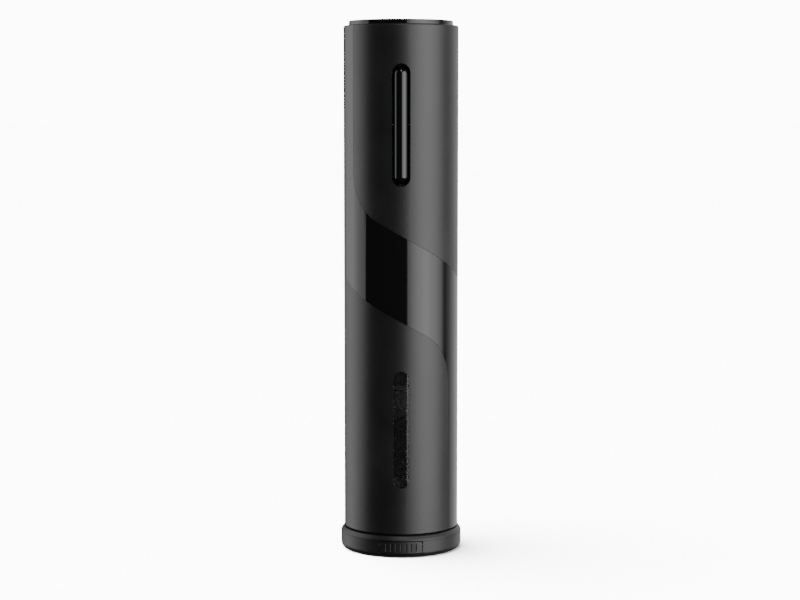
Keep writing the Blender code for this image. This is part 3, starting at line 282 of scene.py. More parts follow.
@dataclass(frozen=True)
class PolishedMoulding(Finish):
    """ABS moulded in a mirror-polished tool.

    It mirrors the room with crisp edges; wiping leaves hairlines that run round the body and
    soften the mirror a little, and the skin has a faint orange peel.
    """

    peel: float = 2.5 * MM
    depth: float = 0.0012 * MM
    hairline: float = 0.12 * MM
    run: float = 20.0
    haze: float = 16 * MM

    def detail(self, tree: bpy.types.NodeTree, shader: bpy.types.Node) -> None:
        """Hairlines and finger haze in the gloss, orange peel in the relief."""
        lines = noise(tree, self.hairline * self.run, 4.0, (1.0, 1.0, self.run), 0.7)
        both = add_node(tree, "ShaderNodeMath", {"operation": "MULTIPLY"},
                        {0: lines, 1: noise(tree, self.haze, 3.0)})
        feed(tree, shader, {"Roughness": spread(tree, both.outputs["Value"], self.roughness,
                                                self.roughness + 0.05, 0.2, 0.42)})
        raise_surface(tree, shader, noise(tree, self.peel, 1.0), self.depth)


@dataclass(frozen=True)
class ClearMoulding(Finish):
    """Polycarbonate moulded clear.

    It bends what lies behind it and mirrors the lights on its rounded rim; flow lines from the
    gate run along the window.
    """

    flow: float = 1.6 * MM
    depth: float = 0.002 * MM

    def detail(self, tree: bpy.types.NodeTree, shader: bpy.types.Node) -> None:
        """Full transmission with long flow lines and a breath of haze."""
        shader.inputs["Transmission Weight"].default_value = 1.0
        flow = noise(tree, self.flow, 2.0, (1.0, 1.0, 0.12))
        feed(tree, shader, {"Roughness": spread(tree, flow, self.roughness, self.roughness + 0.04)})
        raise_surface(tree, shader, flow, self.depth)


@dataclass(frozen=True)
class FilledMoulding(Finish):
    """Glass-filled nylon or acetal, moulded plain for the inside.

    Short fibres near the skin leave it slightly streaky and uneven in gloss.
    """

    streak: float = 0.8 * MM
    depth: float = 0.010 * MM
    fleck: str = "#26272a"

    def detail(self, tree: bpy.types.NodeTree, shader: bpy.types.Node) -> None:
        """Streaks in colour and gloss with a shallow uneven relief."""
        streaks = noise(tree, self.streak, 4.0, (1.0, 1.0, 0.35), 0.65)
        feed(tree, shader, {
            "Base Color": blend_colours(tree, spread(tree, streaks, 0.0, 1.0), self.colour, self.fleck),
            "Roughness": spread(tree, streaks, self.roughness - 0.06, self.roughness + 0.06)})
        raise_surface(tree, shader, streaks, self.depth)


@dataclass(frozen=True)
class TurnedMetal(Finish):
    """Bar stock faced and turned on a lathe.

    The tool leaves fine rings round the axis, which break up reflections, and oil darkens it in
    patches.  The rings are really 0.05 mm apart; they are drawn at feed so that they show.
    """

    feed: float = 0.22 * MM
    patch: float = 3.5 * MM
    oiled: str = "#7d7b76"

    def detail(self, tree: bpy.types.NodeTree, shader: bpy.types.Node) -> None:
        """Tool rings in the relief, oil in the colour and in the gloss."""
        rings = add_node(tree, "ShaderNodeTexWave",
                         {"wave_type": "BANDS", "bands_direction": "Z",
                          "Scale": per(self.feed) * WAVE_TURN, "Distortion": 0.4, "Detail": 2.0},
                         {"Vector": place_of(tree)})
        oil = noise(tree, self.patch, 3.0)
        feed(tree, shader, {
            "Base Color": blend_colours(tree, spread(tree, oil, 0.0, 0.8), self.colour, self.oiled),
            "Roughness": spread(tree, oil, self.roughness - 0.05, self.roughness + 0.08)})
        raise_surface(tree, shader, rings.outputs["Fac"], 0.006 * MM, 0.6)


@dataclass(frozen=True)
class CoatedWire(Finish):
    """Drawn steel wire with a baked non-stick coat.

    The coat is a dark grey satin; corks rub it bright towards the point.
    """

    bare: str = "#b9b8b4"
    patch: float = 1.4 * MM
    ragged: float = 12 * MM
    worn_to: float = 34 * MM
    worn_from: float = 22 * MM

    def detail(self, tree: bpy.types.NodeTree, shader: bpy.types.Node) -> None:
        """Bare metal near the point, fading unevenly into the coat."""
        where = add_node(tree, "ShaderNodeTexCoord")
        height = add_node(tree, "ShaderNodeSeparateXYZ", {}, {"Vector": where.outputs["Object"]})
        patches = noise(tree, self.patch, 5.0, coarse=0.7)
        drawn = add_node(tree, "ShaderNodeMath", {"operation": "MULTIPLY_ADD", 1: self.ragged},
                         {0: patches, 2: height.outputs["Z"]})
        worn = spread(tree, drawn.outputs["Value"], 1.0, 0.0, self.worn_from, self.worn_to)
        feed(tree, shader, {
            "Base Color": blend_colours(tree, worn, self.colour, self.bare),
            "Roughness": spread(tree, patches, self.roughness - 0.05, self.roughness + 0.1)})
        raise_surface(tree, shader, patches, 0.008 * MM)


@dataclass(frozen=True)
class PlatedSheet(Finish):
    """Sheet steel pressed to shape and plated with zinc or nickel.

    The plating shows small flat crystals that differ a little in gloss and in tone.
    """

    crystal: float = 1.3 * MM
    rolled: float = 0.5 * MM
    shadow: str = "#8d9194"

    def detail(self, tree: bpy.types.NodeTree, shader: bpy.types.Node) -> None:
        """Crystals from a cell pattern, fine rolling lines in the relief."""
        cells = add_node(tree, "ShaderNodeTexVoronoi", {"Scale": per(self.crystal)},
                         {"Vector": place_of(tree)})
        tone = add_node(tree, "ShaderNodeSeparateColor", {}, {"Color": cells.outputs["Color"]})
        feed(tree, shader, {
            "Base Color": blend_colours(tree, tone.outputs["Red"], self.colour, self.shadow),
            "Roughness": spread(tree, tone.outputs["Green"], self.roughness - 0.07,
                                self.roughness + 0.09, 0.0, 1.0)})
        raise_surface(tree, shader, noise(tree, self.rolled, 2.0, (1.0, 1.0, 0.1)), 0.006 * MM)


@dataclass(frozen=True)
class SinteredMetal(Finish):
    """Powder pressed and sintered, as bronze bushes and ferrite magnets are.

    Open pores pit the surface and hold oil, which darkens them.
    """

    pore: float = 0.35 * MM
    pit: str = "#5b431f"

    def detail(self, tree: bpy.types.NodeTree, shader: bpy.types.Node) -> None:
        """Pores as dark pits in colour and relief."""
        pores = noise(tree, self.pore, 4.0, coarse=0.75)
        open_pore = spread(tree, pores, 1.0, 0.0, 0.38, 0.5)
        feed(tree, shader, {
            "Base Color": blend_colours(tree, open_pore, self.colour, self.pit),
            "Roughness": spread(tree, pores, self.roughness + 0.1, self.roughness - 0.05)})
        raise_surface(tree, shader, pores, 0.03 * MM)


@dataclass(frozen=True)
class WoundArmature(Finish):
    """Stacked iron laminations with enamelled copper wire wound between the poles.

    The stack shows as thin lines across the axis; the enamel gives the wire a deep orange gloss.
    """

    sheet: float = 0.5 * MM
    wire: str = "#b4622a"
    pole: float = 8.2 * MM

    def detail(self, tree: bpy.types.NodeTree, shader: bpy.types.Node) -> None:
        """Lamination lines, and copper wherever the surface lies nearer the axis than a pole."""
        where = add_node(tree, "ShaderNodeTexCoord")
        lines = add_node(tree, "ShaderNodeTexWave",
                         {"bands_direction": "Z", "Scale": per(self.sheet) * WAVE_TURN},
                         {"Vector": where.outputs["Object"]})
        flat = add_node(tree, "ShaderNodeVectorMath", {"operation": "MULTIPLY", 1: (1.0, 1.0, 0.0)},
                        {0: where.outputs["Object"]})
        reach = add_node(tree, "ShaderNodeVectorMath", {"operation": "LENGTH"}, {0: flat.outputs[0]})
        wound = spread(tree, reach.outputs["Value"], 1.0, 0.0, self.pole - 0.3 * MM, self.pole)
        iron = blend_colours(tree, spread(tree, lines.outputs["Fac"], 0.0, 1.0), self.colour, "#2c2a27")
        feed(tree, shader, {"Base Color": blend_colours(tree, wound, iron, self.wire),
                            "Roughness": spread(tree, wound, self.roughness, 0.25, 0.0, 1.0)})
        raise_surface(tree, shader, lines.outputs["Fac"], 0.04 * MM)


@dataclass(frozen=True)
class SolderMask(Finish):
    """Glass-fibre board under green solder mask.

    Copper tracks lift the mask into slightly raised paler lines, and the weave shows beneath.
    """

    track: float = 1.6 * MM
    weave: float = 0.4 * MM
    lit: str = "#1f7a3c"

    def detail(self, tree: bpy.types.NodeTree, shader: bpy.types.Node) -> None:
        """Right-angled tracks from a brick pattern over a fine weave."""
        upright = add_node(tree, "ShaderNodeMapping", {"Rotation": (math.pi / 2, 0.0, 0.0)},
                           {"Vector": place_of(tree)})
        tracks = add_node(tree, "ShaderNodeTexBrick",
                          {"Scale": per(self.track) / 2, "Mortar Size": 0.09, "Mortar Smooth": 0.2,
                           "Color1": (0.0, 0.0, 0.0, 1.0), "Color2": (0.0, 0.0, 0.0, 1.0),
                           "Mortar": (1.0, 1.0, 1.0, 1.0)},
                          {"Vector": upright.outputs["Vector"]})
        weave = noise(tree, self.weave, 2.0)
        feed(tree, shader, {
            "Base Color": blend_colours(tree, tracks.outputs["Fac"], self.colour, self.lit),
            "Roughness": spread(tree, weave, self.roughness - 0.08, self.roughness + 0.08)})
        raise_surface(tree, shader, tracks.outputs["Fac"], 0.03 * MM)


@dataclass(frozen=True)
class ShrinkSleeve(Finish):
    """Shrink sleeve without print round a cell's steel can, in two colours.

    The film is glossy and clings with small wrinkles; the broad coloured band marks the plus end,
    where the bare plated can shows past the sleeve.
    """

    band: str = "#b06a2c"
    plating: str = "#c9ccce"
    wrinkle: float = 4 * MM
    band_from: float = 0.0
    band_to: float = 0.0
    can_from: float = 0.0

    def detail(self, tree: bpy.types.NodeTree, shader: bpy.types.Node) -> None:
        """Two colours along the cell, bare metal past the sleeve, wrinkles in the relief."""
        where = add_node(tree, "ShaderNodeTexCoord")
        height = add_node(tree, "ShaderNodeSeparateXYZ", {}, {"Vector": where.outputs["Object"]})
        edge = 0.1 * MM * (1 if self.band_to > self.band_from else -1)
        banded = spread(tree, height.outputs["Z"], 0.0, 1.0, self.band_from, self.band_from + edge)
        bare = spread(tree, height.outputs["Z"], 0.0, 1.0, self.can_from, self.can_from + edge)
        film = blend_colours(tree, banded, self.colour, self.band)
        wrinkles = noise(tree, self.wrinkle, 3.0, (1.0, 1.0, 0.5))
        feed(tree, shader, {
            "Base Color": blend_colours(tree, bare, film, self.plating), "Metallic": bare,
            "Roughness": spread(tree, wrinkles, self.roughness - 0.04, self.roughness + 0.06)})
        raise_surface(tree, shader, wrinkles, 0.02 * MM)


# ---------------------------------------------------------------- the bench
class Plane(Enum):
    """The plane that an outline is drawn in."""

    FRONT = "x and z"
    FLOOR = "x and y"

    def point(self, across: float, along: float, level: float = 0.0) -> Vector:
        """The outline's point in space, at a level on the plane's third axis."""
        if self is Plane.FRONT:
            return Vector((across, level, along))
        return Vector((across, along, level))


class Kind(Enum):
    """What an edit-mode selection is made of."""

    VERTEX = "VERT"
    EDGE = "EDGE"
    FACE = "FACE"


@dataclass(frozen=True)
class Corner:
    """A corner of an outline and the radius that it is rounded to."""

    across: float
    along: float
    radius: float = 0.0


def take_up(piece: bpy.types.Object) -> None:
    """Make a piece the only selected and the active one."""
    bpy.ops.object.select_all(action="DESELECT")
    piece.select_set(True)
    bpy.context.view_layer.objects.active = piece


def pill(width: float, length: float, centre: float) -> list[Corner]:
    """Corners of an upright slot outline with half-round ends."""
    side, reach = width / 2, length / 2
    return [Corner(across, centre + along, side) for across, along in
            ((-side, -reach), (side, -reach), (side, reach), (-side, reach))]


class Work:
    """A mesh on the bench, shaped with Blender's modelling operators."""

    def __init__(self, name: str) -> None:
        """Take up the primitive that was just added, and name it."""
        self.piece = bpy.context.active_object
        self.piece.name = name
        self.piece.data.name = name

    @contextmanager
    def editing(self) -> Iterator[None]:
        """Work in edit mode, and leave it again."""
        take_up(self.piece)
        bpy.ops.object.mode_set(mode="EDIT")
        try:
            yield
        finally:
            bpy.ops.object.mode_set(mode="OBJECT")

    def choose(self, kind: Kind, test: Callable) -> int:
        """Select in edit mode only what passes a test.

        Args:
            kind: vertices, edges or faces.
            test: called with each element; true selects it.

        Returns:
            How many elements were selected.
        """
        bpy.ops.mesh.select_mode(type=kind.value)
        bpy.ops.mesh.select_all(action="DESELECT")
        bm = bmesh.from_edit_mesh(self.piece.data)
        pool = {Kind.VERTEX: bm.verts, Kind.EDGE: bm.edges, Kind.FACE: bm.faces}[kind]
        bm.normal_update()
        chosen = [element for element in pool if test(element)]
        for element in chosen:
            element.select_set(True)
        bm.select_flush_mode()
        bmesh.update_edit_mesh(self.piece.data)
        return len(chosen)

    def outward(self) -> "Work":
        """Merge doubles and point every face outwards."""
        with self.editing():
            bpy.ops.mesh.select_all(action="SELECT")
            bpy.ops.mesh.remove_doubles(threshold=MERGE)
            bpy.ops.mesh.normals_make_consistent(inside=False)
        return self

    def extrude(self, way: Sequence[float], test: Callable | None = None) -> "Work":
        """Pull faces out, all of them or those that pass a test."""
        with self.editing():
            self.choose(Kind.FACE, test or (lambda face: True))
            bpy.ops.mesh.extrude_region_move(TRANSFORM_OT_translate={"value": way})
        return self

    def bevel_edges(self, test: Callable, width: float, segments: int = 2) -> "Work":
        """Round the edges that pass a test."""
        with self.editing():
            if self.choose(Kind.EDGE, test):
                bpy.ops.mesh.bevel(offset_type="OFFSET", offset=width, segments=segments,
                                   profile=0.5, affect="EDGES", clamp_overlap=True)
        return self

    def score(self, places: Sequence[float]) -> "Work":
        """Cut upright edges across the whole piece at places along X."""
        with self.editing():
            for place in places:
                bpy.ops.mesh.select_all(action="SELECT")
                bpy.ops.mesh.bisect(plane_co=(place, 0.0, 0.0), plane_no=(1.0, 0.0, 0.0),
                                    threshold=MERGE / 10)
        return self

    def spin(self, steps: int) -> "Work":
        """Spin an outline of radius and height once round the upright axis."""
        with self.editing():
            self.choose(Kind.FACE, lambda face: True)
            bpy.ops.mesh.delete(type="ONLY_FACE")
            bpy.ops.mesh.select_all(action="SELECT")
            bpy.ops.mesh.spin(steps=steps, angle=2 * math.pi, center=(0.0, 0.0, 0.0),
                              axis=(0.0, 0.0, 1.0), use_auto_merge=True)
        return self.outward()

    def shift(self, way: Sequence[float]) -> "Work":
        """Move the whole mesh, leaving the object at the origin."""
        with self.editing():
            bpy.ops.mesh.select_all(action="SELECT")
            bpy.ops.transform.translate(value=way)
        return self

    def modify(self, kind: str, **settings: object) -> "Work":
        """Add a modifier, set it and apply it."""
        take_up(self.piece)
        modifier = self.piece.modifiers.new(kind.lower(), kind)
        for key, value in settings.items():
            setattr(modifier, key, value)
        bpy.ops.object.modifier_apply(modifier=modifier.name)
        return self

    def combine(self, other: "Work", operation: str) -> "Work":
        """Join another piece to this one or cut it out, and put the other away."""
        self.modify("BOOLEAN", operation=operation, solver="EXACT", object=other.piece)
        bpy.data.objects.remove(other.piece, do_unlink=True)
        return self

    def soften(self, width: float, angle: float = 40.0, segments: int = 2) -> "Work":
        """Round every edge sharper than an angle."""
        return self.modify("BEVEL", width=width, segments=segments, limit_method="ANGLE",
                           angle_limit=math.radians(angle), use_clamp_overlap=True)

    def wrap(self, radius: float) -> "Work":
        """Bend a flat plate round the upright axis; its front becomes the surface at radius."""
        reach = [vert.co.x for vert in self.piece.data.vertices]
        self.modify("SIMPLE_DEFORM", deform_method="BEND", deform_axis="Z",
                    angle=(max(reach) - min(reach)) / radius)
        return self.shift((0.0, -radius, 0.0))

    def shade(self, angle: float = 32.0) -> "Work":
        """Shade smooth up to an angle, with broad faces leading the normals at rounded edges."""
        take_up(self.piece)
        bpy.ops.object.shade_smooth_by_angle(angle=math.radians(angle))
        return self.modify("WEIGHTED_NORMAL", mode="FACE_AREA", weight=100, keep_sharp=True)


def outline(name: str, corners: Sequence[Corner], plane: Plane = Plane.FRONT, level: float = 0.0,
            steps: int = 10) -> Work:
    """A flat face with the outline's corners, rounded where they have a radius.

    Args:
        name: the piece's name.
        corners: the outline in order round it.
        plane: the plane it is drawn in.
        level: its place on the plane's third axis.
        steps: segments in each rounded corner.

    Returns:
        The flat piece, ready to extrude or spin.
    """
    bpy.ops.object.select_all(action="DESELECT")
    bpy.ops.mesh.primitive_circle_add(vertices=len(corners), radius=1.0, fill_type="NGON")
    work = Work(name)
    targets = [plane.point(corner.across, corner.along, level) for corner in corners]
    starts = [vert.co.copy() for vert in work.piece.data.vertices]
    with work.editing():
        for index, (start, target) in enumerate(zip(starts, targets)):
            work.choose(Kind.VERTEX, lambda vert, index=index: vert.index == index)
            bpy.ops.transform.translate(value=target - start)
        for index, corner in enumerate(corners):
            if corner.radius <= 0.0:
                continue
            point = targets[index]
            before = targets[index - 1] - point
            after = targets[(index + 1) % len(corners)] - point
            half = before.angle(after) / 2
            work.choose(Kind.VERTEX, lambda vert, point=point: (vert.co - point).length < MERGE)
            bpy.ops.mesh.bevel(offset_type="OFFSET", offset=corner.radius / math.tan(half),
                               segments=steps, affect="VERTICES", clamp_overlap=False,
                               profile=(1 - 1 / (2 * (1 + math.sin(half)))) ** 2)
        bpy.ops.mesh.select_all(action="SELECT")
        bpy.ops.mesh.remove_doubles(threshold=MERGE)
    return work


def turned(name: str, corners: Sequence[Corner], steps: int = 96, arc_steps: int = 4) -> Work:
    """A turned piece from the outline of its half section, of radius and height."""
    return outline(name, corners, Plane.FRONT, 0.0, arc_steps).spin(steps)


def slab(name: str, corners: Sequence[Corner], plane: Plane, low: float, high: float) -> Work:
    """A flat piece of even thickness between two levels."""
    way = plane.point(0.0, 0.0, high - low)
    return outline(name, corners, plane, low).extrude(way).outward()


def rod(name: str, radius: float, low: float, high: float, centre: Sequence[float] = (0.0, 0.0),
        sides: int = 48) -> Work:
    """A plain upright rod, used to cut bores and to raise pins."""
    bpy.ops.object.select_all(action="DESELECT")
    bpy.ops.mesh.primitive_cylinder_add(vertices=sides, radius=radius, depth=high - low)
    return Work(name).shift((centre[0], centre[1], (low + high) / 2))


# ---------------------------------------------------------------- the frame
class Frame:
    """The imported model: where its nodes are, which body each rides on and its slot."""

    def __init__(self, loaded: dict) -> None:
        """Read the nodes, bodies and slots from the loaded frame."""
        record = loaded["record"]
        self.nodes: dict[str, bpy.types.Object] = loaded["nodes"]
        self.slots = {row["node"]: row["material_slot"] for row in record["subparts"]}
        self.bodies = {node: body for body, nodes in record["behaviour"]["bodies"].items()
                       for node in nodes}
        self.done: set[str] = set()

    def box(self, node: str) -> tuple[Vector, Vector]:
        """Lowest and highest corner of a node's box."""
        low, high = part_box(node)
        return low, high

    def centre(self, node: str) -> tuple[float, float]:
        """Where a round node's upright axis stands."""
        low, high = self.box(node)
        return (low.x + high.x) / 2, (low.y + high.y) / 2

    def radius(self, node: str) -> float:
        """Half a round node's width."""
        low, high = self.box(node)
        return (high.x - low.x) / 2

    def low(self, node: str) -> Vector:
        """Lowest corner of a node's box."""
        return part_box(node)[0]

    def high(self, node: str) -> Vector:
        """Highest corner of a node's box."""
        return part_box(node)[1]

    def deliver(self, work: Work, node: str, finish: Finish) -> bpy.types.Object:
        """Put a finished piece in place of a node.

        Args:
            work: the finished piece.
            node: the node it stands for, whose body it rides on.
            finish: its finish.

        Returns:
            The piece's object.
        """
        piece = work.piece
        piece.data.materials.clear()
        piece.data.materials.append(finish.material())
        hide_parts(node)
        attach(piece, self.bodies[node])
        self.done.add(node)
        LOG.info("%s: %d faces, rides on %s", piece.name, len(piece.data.polygons), self.bodies[node])
        return piece

    def copy_of(self, node: str, name: str) -> Work:
        """A merged copy of a node's mesh, with its flat faces whole again."""
        source = self.nodes[node]
        take_up(source)
        bpy.ops.object.duplicate(linked=False)
        work = Work(name)
        work.piece.parent = None
        for key in list(work.piece.keys()):
            del work.piece[key]
        with work.editing():
            bpy.ops.mesh.select_all(action="SELECT")
            bpy.ops.mesh.remove_doubles(threshold=MERGE)
            bpy.ops.mesh.dissolve_limited(angle_limit=math.radians(0.5))
        return work


class Shade(Enum):
    """The finishes of this opener, each named for what it is and how it was made."""

    SHELL = SatinMoulding("satin_spark_eroded_abs", "#0d0d0e", 0.37)
    CUTTER = SatinMoulding("satin_spark_eroded_abs_base", "#0d0d0e", 0.42)
    BAND = PolishedMoulding("polished_abs", "#060607", 0.06)
    BUTTON = PolishedMoulding("polished_abs_button", "#040405", 0.05)
    CAP = PolishedMoulding("polished_abs_cap", "#060607", 0.06)
    WINDOW = ClearMoulding("clear_moulded_polycarbonate", "#f2f5f6", 0.02, ior=1.58)
    INNER = FilledMoulding("glass_filled_nylon", "#0f0f10", 0.50)
    SEAT = FilledMoulding("moulded_acetal_black", "#141415", 0.30, fleck="#1e1e20")
    GEAR = FilledMoulding("moulded_acetal_white", "#d9d6cb", 0.42, fleck="#c9c5b6")
    WORM = CoatedWire("non_stick_coated_wire", "#5a5b5e", 0.30, 1.0)
    STEEL = TurnedMetal("turned_steel", "#b4b4b6", 0.28, 1.0)
    ZINC = PlatedSheet("zinc_plated_sheet", "#c3c7c9", 0.36, 1.0)
    BRONZE = SinteredMetal("sintered_bronze", "#b58a4a", 0.42, 1.0)
    FERRITE = SinteredMetal("sintered_ferrite", "#3a3a3c", 0.55, 0.0, pit="#1c1c1d")
    ARMATURE = WoundArmature("wound_laminations", "#4a4845", 0.45, 0.6)
    BOARD = SolderMask("solder_mask_board", "#0f4d24", 0.35)


SLOT_SHADES = {
    "satin_black": Shade.CUTTER, "gloss_black": Shade.BAND, "button_gloss": Shade.BUTTON,
    "cap_gloss": Shade.CAP, "inner_black": Shade.INNER, "seat_black": Shade.SEAT,
    "clear_window": Shade.WINDOW, "worm_coat": Shade.WORM, "turned_steel": Shade.STEEL,
    "zinc_plate": Shade.ZINC, "armature_iron": Shade.ARMATURE, "bearing_brass": Shade.BRONZE,
    "gear_white": Shade.GEAR, "board_green": Shade.BOARD, "magnet_ferrite": Shade.FERRITE,
}


# ---------------------------------------------------------------- outer skin
@dataclass
class OuterSkin:
    """Inner tube, the two satin shells and the glossy band that winds between them."""

    frame: Frame
    wall: float = 0.9 * MM
    seam: float = 0.08 * MM
    edge: float = 0.10 * MM
    top_edge: float = 0.7 * MM
    foot_edge: float = 0.3 * MM
    tube_wall: float = 0.8 * MM
    tube_edge: float = 0.25 * MM
    seam_angle: float = 55.0
    slope: float = 0.548
    band: float = 36.2 * MM
    corner: float = 25.0 * MM
    tongue: float = 12.0 * MM
    centre_rise: float = 108.4 * MM
    column: float = 3.0

    def __post_init__(self) -> None:
        """Read the body's radius and its two ends from the frame."""
        self.radius = self.frame.high("gloss_band").x
        self.foot = self.frame.low("lower_shell").z
        self.top = self.frame.high("upper_shell").z
        self.centre = self.foot + self.centre_rise

    def arc(self, degrees: float) -> float:
        """Arc length on the surface for an angle from the front."""
        return math.radians(degrees) * self.radius

    def seam_line(self, inset: float) -> list[Corner]:
        """The upper seam's corners from one straight end to the other.

        Args:
            inset: how far the line moves into the shell, or into the band when negative.

        Returns:
            Five corners of arc length and height.
        """
        start = self.centre + self.band / 2 + inset * math.hypot(1.0, self.slope)
        middle = self.arc(90.0)
        left = self.arc(-self.seam_angle) + inset
        right = 2 * middle - left
        bend = start - self.slope * left
        return [Corner(left, self.top), Corner(left, bend, self.corner - inset),
                Corner(middle, start - self.slope * middle, self.tongue - inset),
                Corner(right, bend, self.corner - inset), Corner(right, self.top)]

    def turned_over(self, corner: Corner) -> Corner:
        """A corner turned half round the band's middle; the body's top goes to its foot."""
        along = self.foot if corner.along == self.top else 2 * self.centre - corner.along
        return Corner(-corner.across, along, corner.radius)

    def band_line(self) -> list[Corner]:
        """The band's outline once round the body, opened at the middle of the back."""
        line = self.seam_line(-self.seam / 2)
        turn, half = self.arc(360.0), self.arc(180.0)
        level = self.centre + self.band / 2 - self.seam / 2 * math.hypot(1.0, self.slope)
        upper = [Corner(-half, level)]
        upper += [Corner(corner.across - turn, corner.along, corner.radius) for corner in line[3:]]
        upper += list(line[:3]) + [Corner(half, level)]
        return upper + [self.turned_over(corner) for corner in upper]

    def plate(self, name: str, corners: Sequence[Corner], slot: Sequence[Corner] | None = None,
              closed: bool = False) -> Work:
        """A skin plate: drawn flat, given its wall and edges, then bent round the body.

        Args:
            name: the piece's name.
            corners: its outline of arc length and height.
            slot: the outline of a slot through it.
            closed: whether it runs once round, so that its two ends are joined.

        Returns:
            The finished plate.
        """
        work = outline(name, corners, Plane.FRONT, 0.0, 24).extrude((0.0, self.wall, 0.0)).outward()
        if slot:
            hole = slab("slot_cutter", slot, Plane.FRONT, -self.wall, 2 * self.wall)
            work.combine(hole, "DIFFERENCE")
        end = self.arc(180.0) - MERGE if closed else math.inf

        def at_end(vert: bmesh.types.BMVert) -> bool:
            return abs(vert.co.x) > end

        for level, width, steps in ((self.top, self.top_edge, 5), (self.foot, self.foot_edge, 3)):
            work.bevel_edges(lambda edge, level=level: all(
                vert.co.y < MERGE and abs(vert.co.z - level) < MERGE for vert in edge.verts), width, steps)
        work.bevel_edges(lambda edge: edge.calc_face_angle(0.0) > math.radians(35.0)
                         and all(vert.co.y < MERGE for vert in edge.verts)
                         and not all(at_end(vert) for vert in edge.verts), self.edge, 2)
        if closed:
            with work.editing():
                work.choose(Kind.FACE, lambda face: all(at_end(vert) for vert in face.verts))
                bpy.ops.mesh.delete(type="FACE")
        step = self.arc(self.column)
        reach = [corner.across for corner in corners]
        first, last = math.ceil(min(reach) / step), math.floor(max(reach) / step)
        work.score([index * step for index in range(first, last + 1)
                    if min(reach) + MERGE < index * step < max(reach) - MERGE])
        return work.wrap(self.radius).outward().shade()

    def build(self, button_slot: Sequence[Corner], window_slot: Sequence[Corner]) -> None:
        """Make the tube, the shells and the band, and put them on the frame."""
        upper = self.seam_line(self.seam / 2)
        shells = (("upper_shell_moulding", upper, button_slot, "upper_shell"),
                  ("lower_shell_moulding", [self.turned_over(corner) for corner in upper],
                   window_slot, "lower_shell"))
        for name, corners, slot, node in shells:
            self.frame.deliver(self.plate(name, corners, slot), node, Shade.SHELL.value)
        band = self.plate("gloss_band_moulding", self.band_line(), closed=True)
        self.frame.deliver(band, "gloss_band", Shade.BAND.value)

        outer = self.frame.high("inner_tube").x
        inner = outer - self.tube_wall
        tube = turned("inner_tube_moulding",
                      [Corner(outer, self.foot), Corner(outer, self.top, self.tube_edge),
                       Corner(inner, self.top, self.tube_edge), Corner(inner, self.foot)], 120)
        for slot in (button_slot, window_slot):
            cutter = slab("slot_cutter", slot, Plane.FRONT, -self.radius, -inner / 2)
            tube.combine(cutter, "DIFFERENCE")
        self.frame.deliver(tube.shade(), "inner_tube", Shade.INNER.value)


# ---------------------------------------------------------------- window and button
@dataclass
class Window:
    """The clear lens: a pill that fills its slot, on a wider flange behind the shell."""

    frame: Frame
    radius: float
    lens_width: float = 6.2 * MM
    slit: float = 0.1 * MM
    growth: float = 0.1 * MM
    recess: float = 0.1 * MM
    rim: float = 0.45 * MM
    flange: float = 1.6 * MM
    flange_wall: float = 1.0 * MM
    depth: float = 3.3 * MM
    column: float = 1.0

    def __post_init__(self) -> None:
        """Read the lens's place from its flange's box."""
        low, high = self.frame.box("window_lens")
        self.length = high.z - low.z - 2 * self.flange + 2 * self.growth
        self.width = self.lens_width + 2 * self.growth
        self.middle = (low.z + high.z) / 2

    def slot(self) -> list[Corner]:
        """The slot that the lens fills, a slit wider all round."""
        return pill(self.width + 2 * self.slit, self.length + 2 * self.slit, self.middle)

    def build(self) -> None:
        """Draw the flange flat, inset and raise the lens, and bend it round the body."""
        margin = self.flange - self.growth
        corners = pill(self.width + 2 * margin, self.length + 2 * margin, self.middle)
        lens = slab("window_lens_moulding", corners, Plane.FRONT, self.depth - self.flange_wall, self.depth)
        with lens.editing():
            lens.choose(Kind.FACE, lambda face: face.normal.y < -0.9)
            bpy.ops.mesh.inset(thickness=margin, depth=0.0)
            rise = self.recess - (self.depth - self.flange_wall)
            bpy.ops.mesh.extrude_region_move(TRANSFORM_OT_translate={"value": (0.0, rise, 0.0)})
        lens.bevel_edges(lambda edge: edge.calc_face_angle(0.0) > math.radians(35.0)
                         and all(vert.co.y < self.recess + MERGE for vert in edge.verts), self.rim, 5)
        step = math.radians(self.column) * self.radius
        count = int(self.width / 2 / step) + 2
        lens.score([index * step for index in range(-count, count + 1)])
        lens.wrap(self.radius).outward().shade()
        self.frame.deliver(lens, "window_lens", Shade.WINDOW.value)


